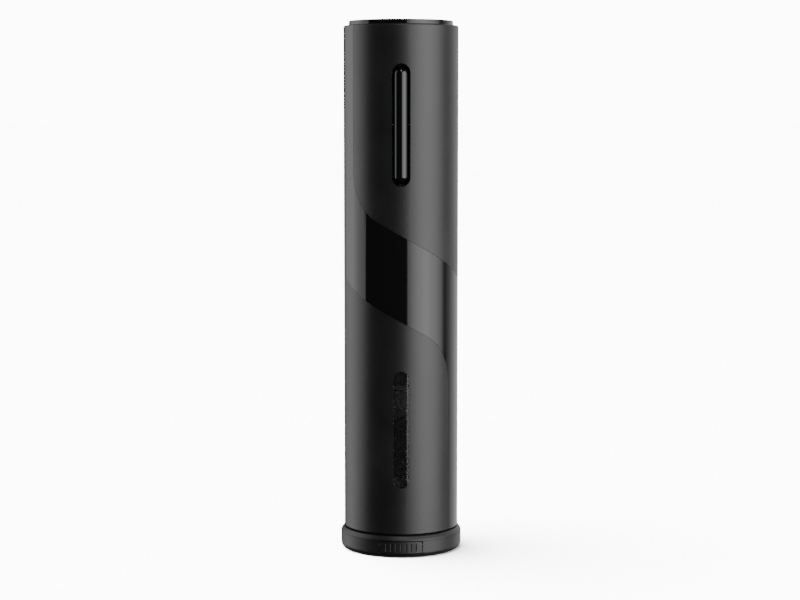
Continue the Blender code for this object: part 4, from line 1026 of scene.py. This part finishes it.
@dataclass
class Button:
    """Rocker button: a half-round bar with domed ends, and the web that it pivots on."""

    frame: Frame
    side_gap: float = 0.75 * MM
    end_gap: float = 1.35 * MM
    skirt: float = 0.5 * MM
    web: float = 4.4 * MM
    web_height: float = 6.0 * MM
    web_corner: float = 0.4 * MM
    pivot_gap: float = 0.1 * MM
    sides: int = 64

    def __post_init__(self) -> None:
        """Read the bar's place and width from the frame."""
        low, high = self.frame.box("rocker_button")
        self.radius = (high.x - low.x) / 2
        self.front, self.back = low.y, high.y
        self.low, self.high = low.z, high.z
        self.middle = (low.z + high.z) / 2

    def slot(self) -> list[Corner]:
        """The slot that the button rocks in."""
        return pill(2 * (self.radius + self.side_gap), self.high - self.low + 2 * self.end_gap,
                    self.middle)

    def build(self) -> None:
        """Stretch a ball into a bar, cut its back away, and join the web with its pivot hole."""
        bpy.ops.object.select_all(action="DESELECT")
        bpy.ops.mesh.primitive_uv_sphere_add(segments=self.sides, ring_count=self.sides // 2,
                                             radius=self.radius)
        bar = Work("rocker_button_moulding")
        reach = (self.high - self.low) / 2 - self.radius
        with bar.editing():
            bar.choose(Kind.FACE, lambda face: face.calc_center_median().z > 0.0)
            bpy.ops.mesh.extrude_region_move(TRANSFORM_OT_translate={"value": (0.0, 0.0, reach)})
            bar.choose(Kind.FACE, lambda face: face.calc_center_median().z < -MERGE
                       and face.normal.z < -MERGE)
            bpy.ops.transform.translate(value=(0.0, 0.0, -reach))
            bpy.ops.mesh.select_all(action="SELECT")
            bpy.ops.mesh.bisect(plane_co=(0.0, 0.0, 0.0), plane_no=(0.0, 1.0, 0.0),
                                use_fill=True, clear_outer=True)
            bpy.ops.mesh.extrude_region_move(TRANSFORM_OT_translate={"value": (0.0, self.skirt, 0.0)})
        axis = self.front + self.radius
        bar.shift((0.0, axis, self.middle)).outward()
        half = self.web_height / 2
        root = axis - self.skirt
        corners = [Corner(across * self.web / 2, self.middle + along * half, self.web_corner)
                   for across, along in ((-1, -1), (1, -1), (1, 1), (-1, 1))]
        web = slab("web", corners, Plane.FRONT, root, self.back)
        bar.combine(web, "UNION")
        pin_low, pin_high = self.frame.box("button_pin")
        bore = (pin_high.z - pin_low.z) / 2 + self.pivot_gap
        hole = rod("pivot_hole", bore, -self.web, self.web)
        with hole.editing():
            bpy.ops.mesh.select_all(action="SELECT")
            bpy.ops.transform.rotate(value=math.pi / 2, orient_axis="Y", center_override=(0.0, 0.0, 0.0))
        hole.shift((0.0, (pin_low.y + pin_high.y) / 2, self.middle))
        bar.combine(hole, "DIFFERENCE").shade(40.0)
        self.frame.deliver(bar, "rocker_button", Shade.BUTTON.value)


# ---------------------------------------------------------------- cap, cells and their holder
@dataclass
class BatteryBay:
    """Pull-off cap, the four cells, their holder and the plate under them."""

    frame: Frame
    edge: float = 0.35 * MM
    dish: float = 0.3 * MM
    dish_share: float = 0.83
    skirt_wall: float = 1.2 * MM
    cell_nub: float = 1.0 * MM
    cell_nub_radius: float = 2.7 * MM
    crimp: float = 0.25 * MM

    def cap(self) -> None:
        """Turn the cap with its shallow dish and its skirt."""
        low, high = self.frame.box("top_cap")
        under = self.frame.high("cap_contact_left").z + GAP
        rim = high.x
        ledge = rim * self.dish_share
        floor = high.z - self.dish
        cap = turned("top_cap_moulding",
                     [Corner(0.0, floor), Corner(ledge, floor, 0.4 * MM),
                      Corner(ledge + self.dish, high.z, 0.4 * MM), Corner(rim, high.z, self.edge),
                      Corner(rim, low.z, EASE), Corner(rim - self.skirt_wall, low.z, EASE),
                      Corner(rim - self.skirt_wall, under, 0.3 * MM), Corner(0.0, under)], 128, 5)
        self.frame.deliver(cap.shade(), "top_cap", Shade.CAP.value)

    def cells(self) -> None:
        """Turn each cell with its nub, its shoulders and the crimp under the plus end."""
        for number in range(1, 5):
            node = f"cell_{number}"
            low, high = self.frame.box(node)
            radius = self.frame.radius(node)
            plus_up = number % 2 == 0
            length = high.z - low.z
            body = length - self.cell_nub
            line = [Corner(0.0, 0.0), Corner(radius - 0.8 * MM, 0.0, EASE),
                    Corner(radius - 0.5 * MM, 0.25 * MM, 0.1 * MM), Corner(radius, 0.4 * MM, 0.3 * MM),
                    Corner(radius, body - 2.6 * MM, 0.3 * MM),
                    Corner(radius - self.crimp, body - 2.2 * MM, 0.3 * MM),
                    Corner(radius, body - 1.8 * MM, 0.3 * MM), Corner(radius, body, 0.7 * MM),
                    Corner(self.cell_nub_radius + 0.8 * MM, body, EASE),
                    Corner(self.cell_nub_radius + 0.6 * MM, body - 0.2 * MM, 0.1 * MM),
                    Corner(self.cell_nub_radius, body - 0.2 * MM, 0.1 * MM),
                    Corner(self.cell_nub_radius, length, 0.4 * MM), Corner(0.0, length)]
            way = 1 if plus_up else -1
            start = low.z if plus_up else high.z
            line = [Corner(corner.across, start + way * corner.along, corner.radius) for corner in line]
            cell = turned(f"cell_{number}_can", line, 64, 3)
            cell.shift((*self.frame.centre(node), 0.0)).shade()
            name = "cell_sleeve_plus_up" if plus_up else "cell_sleeve_plus_down"
            sleeve = ShrinkSleeve(name, "#17181b", 0.22,
                                  band_from=start + way * (body - 14 * MM), band_to=start + way * body,
                                  can_from=start + way * (body - 0.9 * MM))
            self.frame.deliver(cell, node, sleeve)

    def round_with_flat(self, name: str, node: str, bores: bool) -> None:
        """A round plate or block with a flat front, and the cells' bores through it.

        Args:
            name: the piece's name.
            node: the node it stands for.
            bores: whether the cells pass through it.
        """
        low, high = self.frame.box(node)
        bpy.ops.object.select_all(action="DESELECT")
        bpy.ops.mesh.primitive_cylinder_add(vertices=128, radius=high.x, depth=high.z - low.z)
        block = Work(name).shift((0.0, 0.0, (low.z + high.z) / 2))
        with block.editing():
            bpy.ops.mesh.select_all(action="SELECT")
            bpy.ops.mesh.bisect(plane_co=(0.0, low.y, 0.0), plane_no=(0.0, -1.0, 0.0),
                                use_fill=True, clear_outer=True)
        if bores:
            for number in range(1, 5):
                cell = f"cell_{number}"
                bore = rod("bore", self.frame.radius(cell) + GAP, low.z - MM, high.z + MM,
                           self.frame.centre(cell), 64)
                block.combine(bore, "DIFFERENCE")
        block.outward().soften(0.2 * MM).shade()
        self.frame.deliver(block, node, Shade.INNER.value)

    def build(self) -> None:
        """Make the cap, the cells, the holder and the plate."""
        self.cap()
        self.cells()
        self.round_with_flat("battery_holder_moulding", "battery_holder", True)
        self.round_with_flat("battery_base_moulding", "battery_base", False)


# ---------------------------------------------------------------- bore, seat, chamber and worm
@dataclass
class CorkPath:
    """Everything the bottle and the cork touch: neck bore, seat, chamber, chuck and worm."""

    frame: Frame
    bore: float = 15.75 * MM
    bore_wall: float = 1.5 * MM
    flange: float = 2.0 * MM
    slot_width: float = 6.4 * MM
    slot_margin: float = 3.0 * MM
    slot_foot: float = 22.9 * MM
    seat_bore: float = 12.5 * MM
    seat_chamfer: float = 1.2 * MM
    bead: float = 0.6 * MM
    chamber_wall: float = 1.5 * MM
    rib: float = 0.8 * MM
    rib_width: float = 1.2 * MM
    screw_hole: float = 1.3 * MM
    wire: float = 1.4 * MM
    coil: float = 3.2 * MM
    pitch: float = 9.5 * MM
    shank: float = 6.0 * MM
    tip_rise: float = 10.0 * MM
    bend_share: float = 0.8
    shaft: float = 2.8 * MM
    ground_turns: float = 0.8
    turn_steps: int = 40

    def neck(self) -> None:
        """Turn the neck bore with its flange and cut the sight slot behind the window."""
        low, high = self.frame.box("neck_guide")
        outer = self.bore + self.bore_wall
        ledge = self.frame.high("cutter_cover").z + GAP
        neck = turned("neck_guide_moulding",
                      [Corner(self.bore, low.z, 0.5 * MM), Corner(outer, low.z, 0.3 * MM),
                       Corner(outer, ledge, EASE), Corner(high.x, ledge, EASE),
                       Corner(high.x, ledge + self.flange, EASE),
                       Corner(outer, ledge + self.flange, 0.4 * MM), Corner(outer, high.z, EASE),
                       Corner(self.bore, high.z, EASE)], 96)
        foot, head = low.z + self.slot_foot, high.z - self.slot_margin
        slot = slab("sight_slot", pill(self.slot_width, head - foot, (foot + head) / 2),
                    Plane.FRONT, -2 * self.bore, -self.bore / 2)
        neck.combine(slot, "DIFFERENCE").shade()
        self.frame.deliver(neck, "neck_guide", Shade.INNER.value)

    def seat(self) -> None:
        """Turn the polished seat for the bottle's lip."""
        low, high = self.frame.box("bottle_seat")
        rim = high.x
        lip = self.bore - GAP
        ledge = self.frame.high("neck_guide").z + GAP
        seat = turned("bottle_seat_moulding",
                      [Corner(self.seat_bore + self.seat_chamfer, low.z, 0.4 * MM),
                       Corner(lip, low.z, EASE), Corner(lip, ledge, EASE),
                       Corner(rim, ledge, 0.1 * MM), Corner(rim, ledge + self.bead, 0.45 * MM),
                       Corner(rim - self.bead, ledge + self.bead),
                       Corner(rim - self.bead, high.z, 0.1 * MM),
                       Corner(self.seat_bore, high.z, EASE),
                       Corner(self.seat_bore, low.z + self.seat_chamfer, 0.4 * MM)], 96)
        self.frame.deliver(seat.shade(), "bottle_seat", Shade.SEAT.value)

    def chamber(self) -> None:
        """Turn the chamber, raise its ribs and drill the screw holes in its top flange."""
        low, high = self.frame.box("cork_chamber")
        outer = self.seat_bore + self.chamber_wall
        foot_rim = self.frame.high("bottle_seat").x
        chamber = turned("cork_chamber_moulding",
                         [Corner(self.seat_bore, low.z, 0.4 * MM), Corner(foot_rim, low.z, EASE),
                          Corner(foot_rim, low.z + self.flange, EASE),
                          Corner(outer, low.z + self.flange, 0.5 * MM),
                          Corner(outer, high.z - self.flange, 0.5 * MM),
                          Corner(high.x, high.z - self.flange, EASE),
                          Corner(high.x, high.z, EASE), Corner(self.seat_bore, high.z)], 96)
        inner, depth = self.seat_bore - self.rib, self.rib + self.chamber_wall / 2
        for quarter in range(4):
            half = self.rib_width / 2
            rib = slab("rib", [Corner(inner, -half, 0.3 * MM), Corner(inner + depth, -half),
                               Corner(inner + depth, half), Corner(inner, half, 0.3 * MM)],
                       Plane.FLOOR, low.z + 0.5 * MM, high.z - 0.1 * MM)
            with rib.editing():
                bpy.ops.mesh.select_all(action="SELECT")
                bpy.ops.transform.rotate(value=math.radians(90 * quarter + 45), orient_axis="Z",
                                         center_override=(0.0, 0.0, 0.0))
            chamber.combine(rib, "UNION")
        for number in (1, 2):
            hole = rod("screw_hole", self.screw_hole, high.z - 2 * self.flange, high.z + MM,
                       self.frame.centre(f"gearbox_screw_{number}"), 24)
            chamber.combine(hole, "DIFFERENCE")
        self.frame.deliver(chamber.shade(), "cork_chamber", Shade.INNER.value)

    def chuck(self) -> None:
        """Turn the chuck with its coned nose, a grip groove and both bores."""
        low, high = self.frame.box("worm_chuck")
        rim = high.x
        nose = rim / 3
        end = self.frame.high("worm").z + GAP
        chuck = turned("worm_chuck_turning",
                       [Corner(rim, high.z, 0.3 * MM), Corner(rim, low.z + nose + 2.4 * MM, EASE),
                        Corner(rim - 0.5 * MM, low.z + nose + 2.0 * MM, 0.1 * MM),
                        Corner(rim - 0.5 * MM, low.z + nose + 1.2 * MM, 0.1 * MM),
                        Corner(rim, low.z + nose + 0.8 * MM, EASE),
                        Corner(rim, low.z + nose, 0.5 * MM), Corner(rim * 2 / 3, low.z, 0.4 * MM),
                        Corner(self.wire + GAP, low.z, EASE),
                        Corner(self.wire + GAP, end), Corner(self.shaft, end),
                        Corner(self.shaft, high.z, EASE)], 80)
        self.frame.deliver(chuck.shade(), "worm_chuck", Shade.STEEL.value)

    def worm_path(self) -> list[Vector]:
        """Points along the worm's wire, from its point up the coil and over to the axis."""
        tip = self.frame.low("worm_chuck").z - self.coil_height()
        top = self.frame.low("worm_chuck").z - self.shank
        turns = (top - tip) / self.pitch
        count = round(turns * self.turn_steps)
        path = []
        for index in range(count + 1):
            angle = 2 * math.pi * turns * index / count
            path.append(Vector((self.coil * math.cos(angle), self.coil * math.sin(angle),
                                tip + (top - tip) * index / count)))
        bend = self.turn_steps // 2
        for index in range(1, bend + 1):
            share = index / bend
            angle = 2 * math.pi * turns + math.pi / 2 * share
            reach = self.coil * (1 + math.cos(math.pi * share)) / 2
            path.append(Vector((reach * math.cos(angle), reach * math.sin(angle),
                                top + self.shank * self.bend_share * share)))
        path.append(Vector((0.0, 0.0, self.frame.low("worm_chuck").z)))
        path.append(Vector((0.0, 0.0, self.frame.high("worm").z)))
        return path

    def coil_height(self) -> float:
        """From the worm's point, which stands tip_rise above the bore's foot, up to the chuck."""
        return self.frame.low("worm_chuck").z - self.frame.low("neck_guide").z - self.tip_rise

    def worm(self) -> None:
        """Draw the wire, thicken it, grind its point and make it a mesh."""
        path = self.worm_path()
        ground = self.ground_turns * self.turn_steps
        radii = [max(0.12, min(1.0, index / ground)) ** 0.75 for index in range(len(path))]
        worm = bent_wire("worm_wire", path, self.wire, radii, 10)
        self.frame.deliver(worm.shade(60.0), "worm", Shade.WORM.value)

    def build(self) -> None:
        """Make the whole way of the cork."""
        self.neck()
        self.seat()
        self.chamber()
        self.chuck()
        self.worm()


def bent_wire(name: str, path: Sequence[Vector], radius: float, radii: Sequence[float] | None = None,
              roundness: int = 6) -> Work:
    """A wire along a path, as a mesh with closed ends.

    Args:
        name: the piece's name.
        path: points along the wire's middle.
        radius: the wire's radius.
        radii: the share of the radius at each point.
        roundness: how many facets a quarter of the wire has.

    Returns:
        The wire.
    """
    bpy.ops.object.select_all(action="DESELECT")
    bpy.ops.curve.primitive_nurbs_path_add()
    wire = Work(name)
    curve = wire.piece.data
    curve.splines.clear()
    spline = curve.splines.new("POLY")
    spline.points.add(len(path) - 1)
    for index, point in enumerate(path):
        spline.points[index].co = (*point, 1.0)
        spline.points[index].radius = radii[index] if radii else 1.0
    curve.bevel_depth = radius
    curve.bevel_resolution = roundness
    curve.use_fill_caps = True
    take_up(wire.piece)
    bpy.ops.object.convert(target="MESH")
    return Work(name).outward()


# ---------------------------------------------------------------- foil cutter
@dataclass
class FoilCutter:
    """The ring that the opener stands on: base, cover, two jaws with four wheels, two springs."""

    frame: Frame
    hole: float = 15.6 * MM
    floor: float = 1.6 * MM
    wall: float = 1.7 * MM
    foot_fillet: float = 2.3 * MM
    shoulder_start: float = 7.6 * MM
    shoulder_top: float = 24.75 * MM
    joint: float = 0.07 * MM
    tongue_wall: float = 1.2 * MM
    pad_half: float = 9.3 * MM
    groove: float = 0.8 * MM
    groove_depth: float = 0.35 * MM
    groove_count: int = 7
    jaw_setback: float = 2.6 * MM
    wheel_bore: float = 1.15 * MM
    wheel_land: float = 0.04 * MM
    spring_radius: float = 1.6 * MM
    spring_wire: float = 0.25 * MM
    spring_turns: int = 5

    def __post_init__(self) -> None:
        """Read the ring's size from the frame."""
        self.rim = self.frame.high("cutter_cover").x
        self.seam = (self.frame.high("cutter_base").z + self.frame.low("cutter_cover").z) / 2
        self.shoulder = self.frame.low("neck_guide").z - 0.5 * MM
        self.tongue_top = self.frame.high("cutter_cover").z
        self.tongue = self.frame.high("neck_guide").x

    def base(self) -> None:
        """Turn the base and cut the two windows for the pads."""
        top = self.seam - self.joint / 2
        inner = self.rim - self.wall
        base = turned("cutter_base_moulding",
                      [Corner(self.hole, 0.0, 0.8 * MM), Corner(self.rim, 0.0, self.foot_fillet),
                       Corner(self.rim, top, 0.08 * MM), Corner(inner, top), Corner(inner, self.floor),
                       Corner(self.hole, self.floor, 0.4 * MM)], 128, 8)
        clear = self.rim * 1.1
        for low, high in ((-clear, -self.hole - self.jaw_setback), (self.hole + self.jaw_setback, clear)):
            window = slab("pad_window", [Corner(-self.pad_half, self.floor, 0.6 * MM),
                                         Corner(self.pad_half, self.floor, 0.6 * MM),
                                         Corner(self.pad_half, self.tongue_top),
                                         Corner(-self.pad_half, self.tongue_top)],
                          Plane.FRONT, low, high)
            base.combine(window, "DIFFERENCE")
        self.frame.deliver(base.shade(), "cutter_base", Shade.CUTTER.value)

    def cover(self) -> None:
        """Turn the cover with its rounded shoulder and the tongue that enters the body."""
        low = self.seam + self.joint / 2
        cover = turned("cutter_cover_moulding",
                       [Corner(self.hole, low), Corner(self.rim, low, 0.08 * MM),
                        Corner(self.rim, self.shoulder_start, 1.3 * MM),
                        Corner(self.shoulder_top, self.shoulder, 1.0 * MM),
                        Corner(self.tongue, self.shoulder), Corner(self.tongue, self.tongue_top, 0.3 * MM),
                        Corner(self.tongue - self.tongue_wall, self.tongue_top, 0.3 * MM),
                        Corner(self.tongue - self.tongue_wall, self.shoulder, EASE),
                        Corner(self.hole, self.shoulder, 0.6 * MM)], 128, 8)
        self.frame.deliver(cover.shade(), "cutter_cover", Shade.CUTTER.value)

    def jaws(self) -> None:
        """Finish the jaws: soften their edges and cut grip grooves down their pads."""
        spacing = 2 * (self.pad_half - self.groove) / (self.groove_count + 1)
        for side, way in (("front", -1), ("rear", 1)):
            node = f"cutter_jaw_{side}"
            low, high = self.frame.box(node)
            jaw = self.frame.copy_of(node, f"cutter_jaw_{side}_moulding").soften(0.15 * MM)
            for index in range(self.groove_count):
                x = spacing * (index - (self.groove_count - 1) / 2)
                depth = self.rim - math.sqrt(self.rim ** 2 - x ** 2) + self.groove_depth
                cutter = rod("groove", self.groove / 2, low.z + 0.7 * MM, high.z - 0.7 * MM,
                             (x, way * (self.rim - depth + self.groove / 2)), 16)
                jaw.combine(cutter, "DIFFERENCE")
            self.frame.deliver(jaw.shade(), node, Shade.CUTTER.value)

    def wheels(self) -> None:
        """Turn the four cutting wheels with their bevelled edge."""
        for node in sorted(name for name in self.frame.nodes if name.startswith("cutter_wheel_")):
            low, high = self.frame.box(node)
            radius, thick = self.frame.radius(node), high.z - low.z
            middle = (low.z + high.z) / 2
            ease, land = EASE / 2, self.wheel_land
            wheel = turned(f"{node}_disc",
                           [Corner(self.wheel_bore, low.z, ease), Corner(radius - thick, low.z, ease),
                            Corner(radius, middle - land), Corner(radius, middle + land),
                            Corner(radius - thick, high.z, ease),
                            Corner(self.wheel_bore, high.z, ease)], 64)
            wheel.shift((*self.frame.centre(node), 0.0)).shade()
            self.frame.deliver(wheel, node, Shade.STEEL.value)

    def springs(self) -> None:
        """Wind the two springs that hold the jaws apart."""
        steps = self.spring_turns * 24
        for side in ("left", "right"):
            node = f"jaw_spring_{side}"
            low, high = self.frame.box(node)
            x, z = (low.x + high.x) / 2, (low.z + high.z) / 2
            reach = (high.y - low.y) / 2 - self.spring_wire
            path = []
            for index in range(steps + 1):
                angle = 2 * math.pi * self.spring_turns * index / steps
                path.append(Vector((x + self.spring_radius * math.cos(angle),
                                    reach * (2 * index / steps - 1),
                                    z + self.spring_radius * math.sin(angle))))
            spring = bent_wire(f"{node}_wire", path, self.spring_wire, None, 3)
            self.frame.deliver(spring.shade(60.0), node, Shade.STEEL.value)

    def build(self) -> None:
        """Make the whole foil cutter."""
        self.base()
        self.cover()
        self.jaws()
        self.wheels()
        self.springs()


# ---------------------------------------------------------------- everything inside
@dataclass
class Inside:
    """Gearbox, motor, switch gear and contacts: the frame's shapes with eased edges."""

    frame: Frame
    edge: float = 0.12 * MM

    def build(self) -> None:
        """Ease the edges of every node that has no piece of its own yet."""
        for node in sorted(set(self.frame.nodes) - self.frame.done):
            shade = SLOT_SHADES[self.frame.slots[node]]
            piece = self.frame.copy_of(node, f"{node}_finished").soften(self.edge)
            self.frame.deliver(piece.shade(), node, shade.value)


# ---------------------------------------------------------------- studio
@dataclass(frozen=True)
class Softbox:
    """A tall softbox that stands at an angle round the opener, brighter where its lamps are.

    Angles are measured from the camera's side, positive towards +X.  profile holds the brightness
    at angles across the box, from its first to its last.
    """

    name: str
    distance: float
    low: float
    high: float
    power: float
    profile: tuple[tuple[float, float], ...]

    def build(self) -> None:
        """Stand the softbox up, facing the opener and out of the camera's sight."""
        angles = [angle for angle, _ in self.profile]
        first, last = min(angles), max(angles)
        turn = math.radians((first + last) / 2)
        reach = math.tan(math.radians(last - first) / 2)
        bpy.ops.object.light_add(type="AREA", rotation=(math.pi / 2, 0.0, turn),
                                 location=(self.distance * math.sin(turn),
                                           -self.distance * math.cos(turn), (self.low + self.high) / 2))
        light = bpy.context.active_object
        light.name = self.name
        light.data.shape = "RECTANGLE"
        light.data.size = 2 * self.distance * reach
        light.data.size_y = self.high - self.low
        light.data.energy = self.power * light.data.size * light.data.size_y
        light.visible_camera = False
        light.data.use_nodes = True
        tree = light.data.node_tree
        where = add_node(tree, "ShaderNodeNewGeometry")
        across = add_node(tree, "ShaderNodeSeparateXYZ", {}, {"Vector": where.outputs["Parametric"]})
        lamps = add_node(tree, "ShaderNodeValToRGB", {}, {"Fac": across.outputs["X"]})
        stops = lamps.color_ramp.elements
        for index, (angle, share) in enumerate(self.profile):
            place = 0.5 + math.tan(math.radians(angle) - turn) / reach / 2
            stop = stops[index] if index < 2 else stops.new(place)
            stop.position = place
            stop.color = (share, share, share, 1.0)
        tree.links.new(lamps.outputs["Color"], tree.nodes["Emission"].inputs["Color"])


@dataclass
class Studio:
    """Pale floor, white surroundings, softboxes and the camera."""

    floor_size: float = 60.0
    white: float = 12.0
    fill: float = 0.08
    floor_white: float = 0.92
    sun_spread: float = 70.0
    sun_tilt: tuple[float, float] = (-8.0, -28.0)
    sun_share: float = 1.1
    overhead_place: tuple[float, float, float] = (0.05, -0.45, 0.9)
    overhead_tilt: float = 32.0
    overhead_size: float = 0.12
    overhead_energy: float = 1.2
    camera_place: tuple[float, float, float] = (-0.44 * MM, -828.5 * MM, 187.3 * MM)
    camera_pitch: float = 5.52
    lens: float = 86.95
    sensor: float = 36.0

    def floor(self) -> None:
        """A wide pale floor that takes the opener's soft shadow and isn't mirrored in it."""
        bpy.ops.mesh.primitive_plane_add(size=self.floor_size)
        floor = bpy.context.active_object
        floor.name = "studio_floor"
        paint = bpy.data.materials.new("studio_floor_paint")
        paint.use_nodes = True
        shader = paint.node_tree.nodes["Principled BSDF"]
        shader.inputs["Base Color"].default_value = (self.floor_white,) * 3 + (1.0,)
        shader.inputs["Roughness"].default_value = 1.0
        shader.inputs["Specular IOR Level"].default_value = 0.0
        floor.data.materials.append(paint)
        for ray in ("visible_diffuse", "visible_glossy", "visible_transmission", "visible_shadow"):
            setattr(floor, ray, False)
        tilt = [math.radians(angle) for angle in self.sun_tilt]
        bpy.ops.object.light_add(type="SUN", rotation=(*tilt, 0.0))
        sun = bpy.context.active_object
        sun.name = "floor_light"
        sun.data.angle = math.radians(self.sun_spread)
        sun.data.energy = self.white * math.pi / self.floor_white * self.sun_share
        lit = bpy.data.collections.new("lit_by_floor_light")
        lit.objects.link(floor)
        sun.light_linking.receiver_collection = lit

    def surroundings(self) -> None:
        """White to the eye, and a dim even fill on the opener."""
        world = bpy.data.worlds.new("studio_surroundings")
        bpy.context.scene.world = world
        world.use_nodes = True
        tree = world.node_tree
        seen = add_node(tree, "ShaderNodeLightPath")
        strength = spread(tree, seen.outputs["Is Camera Ray"], self.fill, self.white, 0.0, 1.0)
        sky = tree.nodes["Background"]
        sky.inputs["Color"].default_value = (1.0, 1.0, 1.0, 1.0)
        tree.links.new(strength, sky.inputs["Strength"])

    def softboxes(self) -> None:
        """Two tall boxes that give the body its bands, a rim light and a small one overhead."""
        boxes = (
            Softbox("right_softbox", 1.0, -0.35, 1.1, 16.0,
                    ((12.5, 0.3), (98.0, 0.05), (18.0, 0.45), (26.0, 0.67), (35.0, 0.85), (48.0, 0.99),
                     (53.0, 1.0), (61.0, 0.86), (71.0, 0.73), (76.0, 0.63), (81.0, 0.5), (87.0, 0.38),
                     (92.0, 0.16))),
            Softbox("left_softbox", 1.0, -0.35, 1.1, 7.0,
                    ((-158.0, 0.04), (-75.5, 0.6), (-151.0, 0.15), (-138.0, 0.42), (-128.0, 0.62),
                     (-119.0, 0.84), (-111.0, 1.0), (-98.0, 0.91), (-92.0, 0.8))),
            Softbox("rim_softbox", 1.3, -0.5, 1.3, 3.4,
                    ((100.0, 0.25), (172.0, 1.0), (112.0, 0.5), (119.0, 0.78), (128.0, 1.0))))
        for box in boxes:
            box.build()
        bpy.ops.object.light_add(type="AREA", location=self.overhead_place,
                                 rotation=(math.radians(self.overhead_tilt), 0.0, 0.0))
        glint = bpy.context.active_object
        glint.name = "overhead_softbox"
        glint.data.size = self.overhead_size
        glint.data.energy = self.overhead_energy
        glint.visible_camera = False

    def camera(self) -> None:
        """A long lens in front of the opener, a little above its button."""
        bpy.ops.object.camera_add(location=self.camera_place,
                                  rotation=(math.radians(90.0 - self.camera_pitch), 0.0, 0.0))
        camera = bpy.context.active_object
        camera.name = "studio_camera"
        camera.data.lens = self.lens
        camera.data.sensor_width = self.sensor
        bpy.context.scene.camera = camera

    def build(self) -> None:
        """Set the whole studio up."""
        self.floor()
        self.surroundings()
        self.softboxes()
        self.camera()


def main() -> None:
    """Build every sub-assembly and the studio round them."""
    logging.basicConfig(level=logging.INFO, format="%(message)s")
    packed = Frame(frame)
    skin = OuterSkin(packed)
    window = Window(packed, skin.radius)
    button = Button(packed)
    skin.build(button.slot(), window.slot())
    window.build()
    button.build()
    BatteryBay(packed).build()
    CorkPath(packed).build()
    FoilCutter(packed).build()
    Inside(packed).build()
    Studio().build()


if __name__ == "__main__":
    main()
